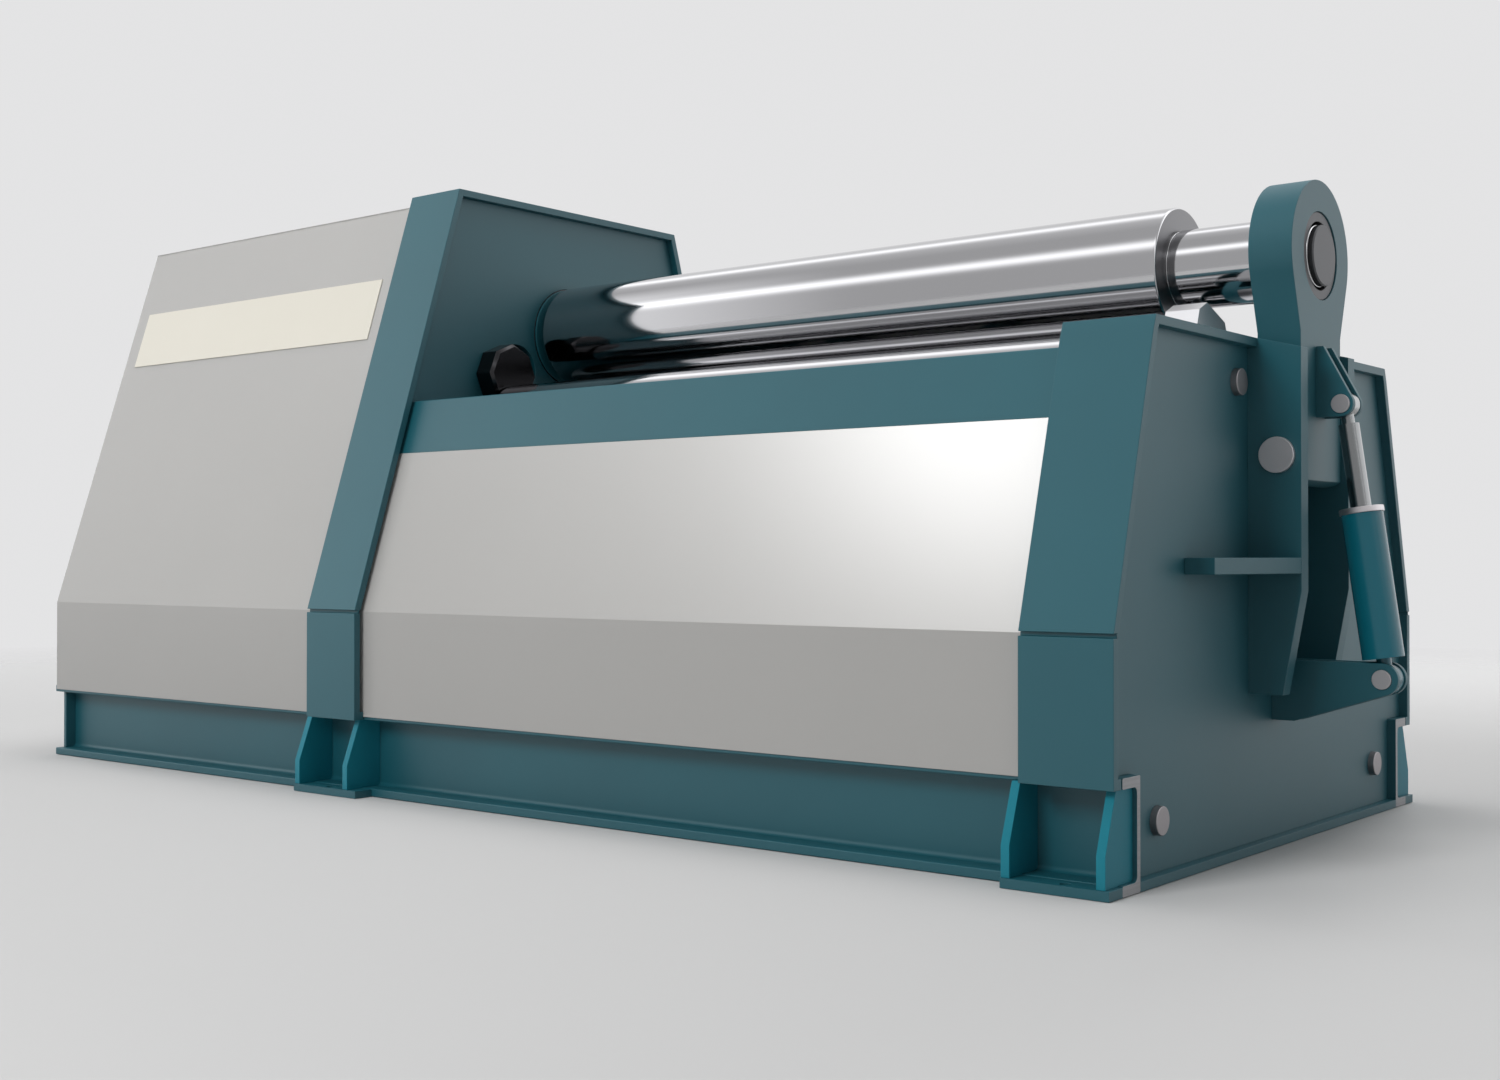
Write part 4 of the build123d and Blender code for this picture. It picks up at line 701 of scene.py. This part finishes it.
# Backdrop: the camera sees one pale grey, and matt surfaces get a weak even light from it. Polished steel
# mirrors a studio: a plain room, lighter at the rear, a window at the front left, and two long soft lamps
# over the machine.
backdrop, even_light, room = 0.78, 0.25, 0.56
window = ((0.58, 0.82, 0.0, 1.0), (0.0, 0.3, 0.0, 1.5))
rear_wall = ((-0.3, 0.4, 0.9, 0.24), (-0.4, 0.1, 1.0, 0.0))
long_lamps = ((46.0, 8.0, 1.35), (120.0, 8.0, 0.95))
world = bpy.data.worlds.new("studio_surroundings")
bpy.context.scene.world = world
world.use_nodes = True
tree = world.node_tree
tree.nodes.clear()
paths = add(tree, "ShaderNodeLightPath").outputs
seen = paths["Is Camera Ray"]
for kind in ("Is Glossy Ray", "Is Transmission Ray"):
    seen = add(tree, "ShaderNodeMath", {0: seen, 1: paths[kind]}, operation="MAXIMUM")
direction = add(tree, "ShaderNodeTexCoord").outputs["Generated"]
turned_about = add(
    tree, "ShaderNodeVectorMath", {0: direction, 1: (-1.0, -1.0, 1.0)}, operation="MULTIPLY"
)
leftness, frontness, height = add(tree, "ShaderNodeSeparateXYZ", {0: turned_about}).outputs
level = room
# Each patch is the product of two ramps, over how far left and how far front a ray goes. A ramp starts at
# its first number and ends at its second, and it goes from the third to the fourth.
for left_ramp, front_ramp in (window, rear_wall):
    across = add(tree, "ShaderNodeMapRange", dict(enumerate((leftness, *left_ramp))))
    along = add(tree, "ShaderNodeMapRange", dict(enumerate((frontness, *front_ramp))))
    level = add(tree, "ShaderNodeMath", {0: across, 1: along, 2: level}, operation="MULTIPLY_ADD")
# Each long lamp is a bell curve, e to the minus square, of the angle above the front horizon.
rise = add(tree, "ShaderNodeMath", {0: height, 1: frontness}, operation="ARCTAN2")
for degrees, width, strength in long_lamps:
    middle, edge = math.radians(degrees), math.radians(degrees + width)
    span = {"Value": rise, "From Min": middle, "From Max": edge}
    off = add(tree, "ShaderNodeMapRange", span, clamp=False)
    square = add(tree, "ShaderNodeMath", {0: off, 1: off}, operation="MULTIPLY")
    bell = add(tree, "ShaderNodeMath", {0: math.exp(-1), 1: square}, operation="POWER")
    level = add(tree, "ShaderNodeMath", {0: bell, 1: strength, 2: level}, operation="MULTIPLY_ADD")
shown_level = add(
    tree, "ShaderNodeMapRange", {"Value": paths["Is Camera Ray"], "To Min": level, "To Max": backdrop}
)
shown = add(tree, "ShaderNodeBackground", {"Color": linear("FEFEFF"), "Strength": shown_level})
lighting = add(tree, "ShaderNodeBackground", {"Color": linear("FFFFFF"), "Strength": even_light})
mixed = add(tree, "ShaderNodeMixShader", {0: seen, 1: lighting, 2: shown})
add(tree, "ShaderNodeOutputWorld", {"Surface": mixed})

# Lamps: four square soft lamps over and round the machine, which polished steel doesn't mirror, because
# the backdrop's long lamps stand for them, and one that makes the bright patch on the grey panels and is
# linked to those sheets alone.


def soft_lamp(name, place, target, side, watts):
    """A flat square lamp at place that faces target, with its first side level."""
    lamp = bpy.data.lights.new(name, "AREA")
    lamp.shape = "SQUARE"
    lamp.size = side
    lamp.energy = watts
    holder = bpy.data.objects.new(name, lamp)
    bpy.context.scene.collection.objects.link(holder)
    holder.location = place
    x, y, z = np.array(target) - np.array(place)
    holder.rotation_euler = (math.atan2(math.hypot(x, y), -z), 0, math.atan2(-x, y))
    return holder


for name, place, target, side, watts in (
    ("overhead_lamp", (0.0, 0.0, 14.0), (0.0, 0.0, 0.0), 10.0, 900),
    ("front_lamp", (0.0, -8.6, 5.2), (0.0, -0.8, 0.8), 3.0, 440),
    ("rear_lamp", (0.0, 8.6, 5.2), (0.0, 0.8, 0.8), 3.0, 320),
    ("left_lamp", (-10.6, 0.0, 5.2), (-2.0, 0.0, 0.8), 3.0, 260),
):
    soft_lamp(name, place, target, side, watts).visible_glossy = False
panel_lamp = soft_lamp("panel_lamp", (-8.8, -13.9, 11.9), (1.44, -0.68, 0.94), 1.6, 5600)
panel_lamp.visible_diffuse = False
lit_sheets = bpy.data.collections.new("sheets_under_the_panel_lamp")
for panel_sheet in panel_sheets:
    lit_sheets.objects.link(panel_sheet)
panel_lamp.light_linking.receiver_collection = lit_sheets

# Camera: at the photograph's place and angle, which were fitted to the machine's straight edges. It stands
# at the machine's front right and looks to the left and a little up.
photo_width_px, focal_length_px, sensor_mm = 1500, 1742.9, 36.0
camera_place, tilt_up, turn_left = (3.3575, -3.8799, 0.6609), 0.49, 38.856
camera = bpy.data.cameras.new("photo_camera")
camera.sensor_width = sensor_mm
camera.lens = focal_length_px / photo_width_px * sensor_mm
camera.clip_end = 200.0
camera_object = bpy.data.objects.new("photo_camera", camera)
bpy.context.scene.collection.objects.link(camera_object)
camera_object.location = camera_place
camera_object.rotation_euler = (math.radians(90 + tilt_up), 0, math.radians(turn_left))
bpy.context.scene.camera = camera_object
bpy.context.scene.view_settings.view_transform = "Standard"
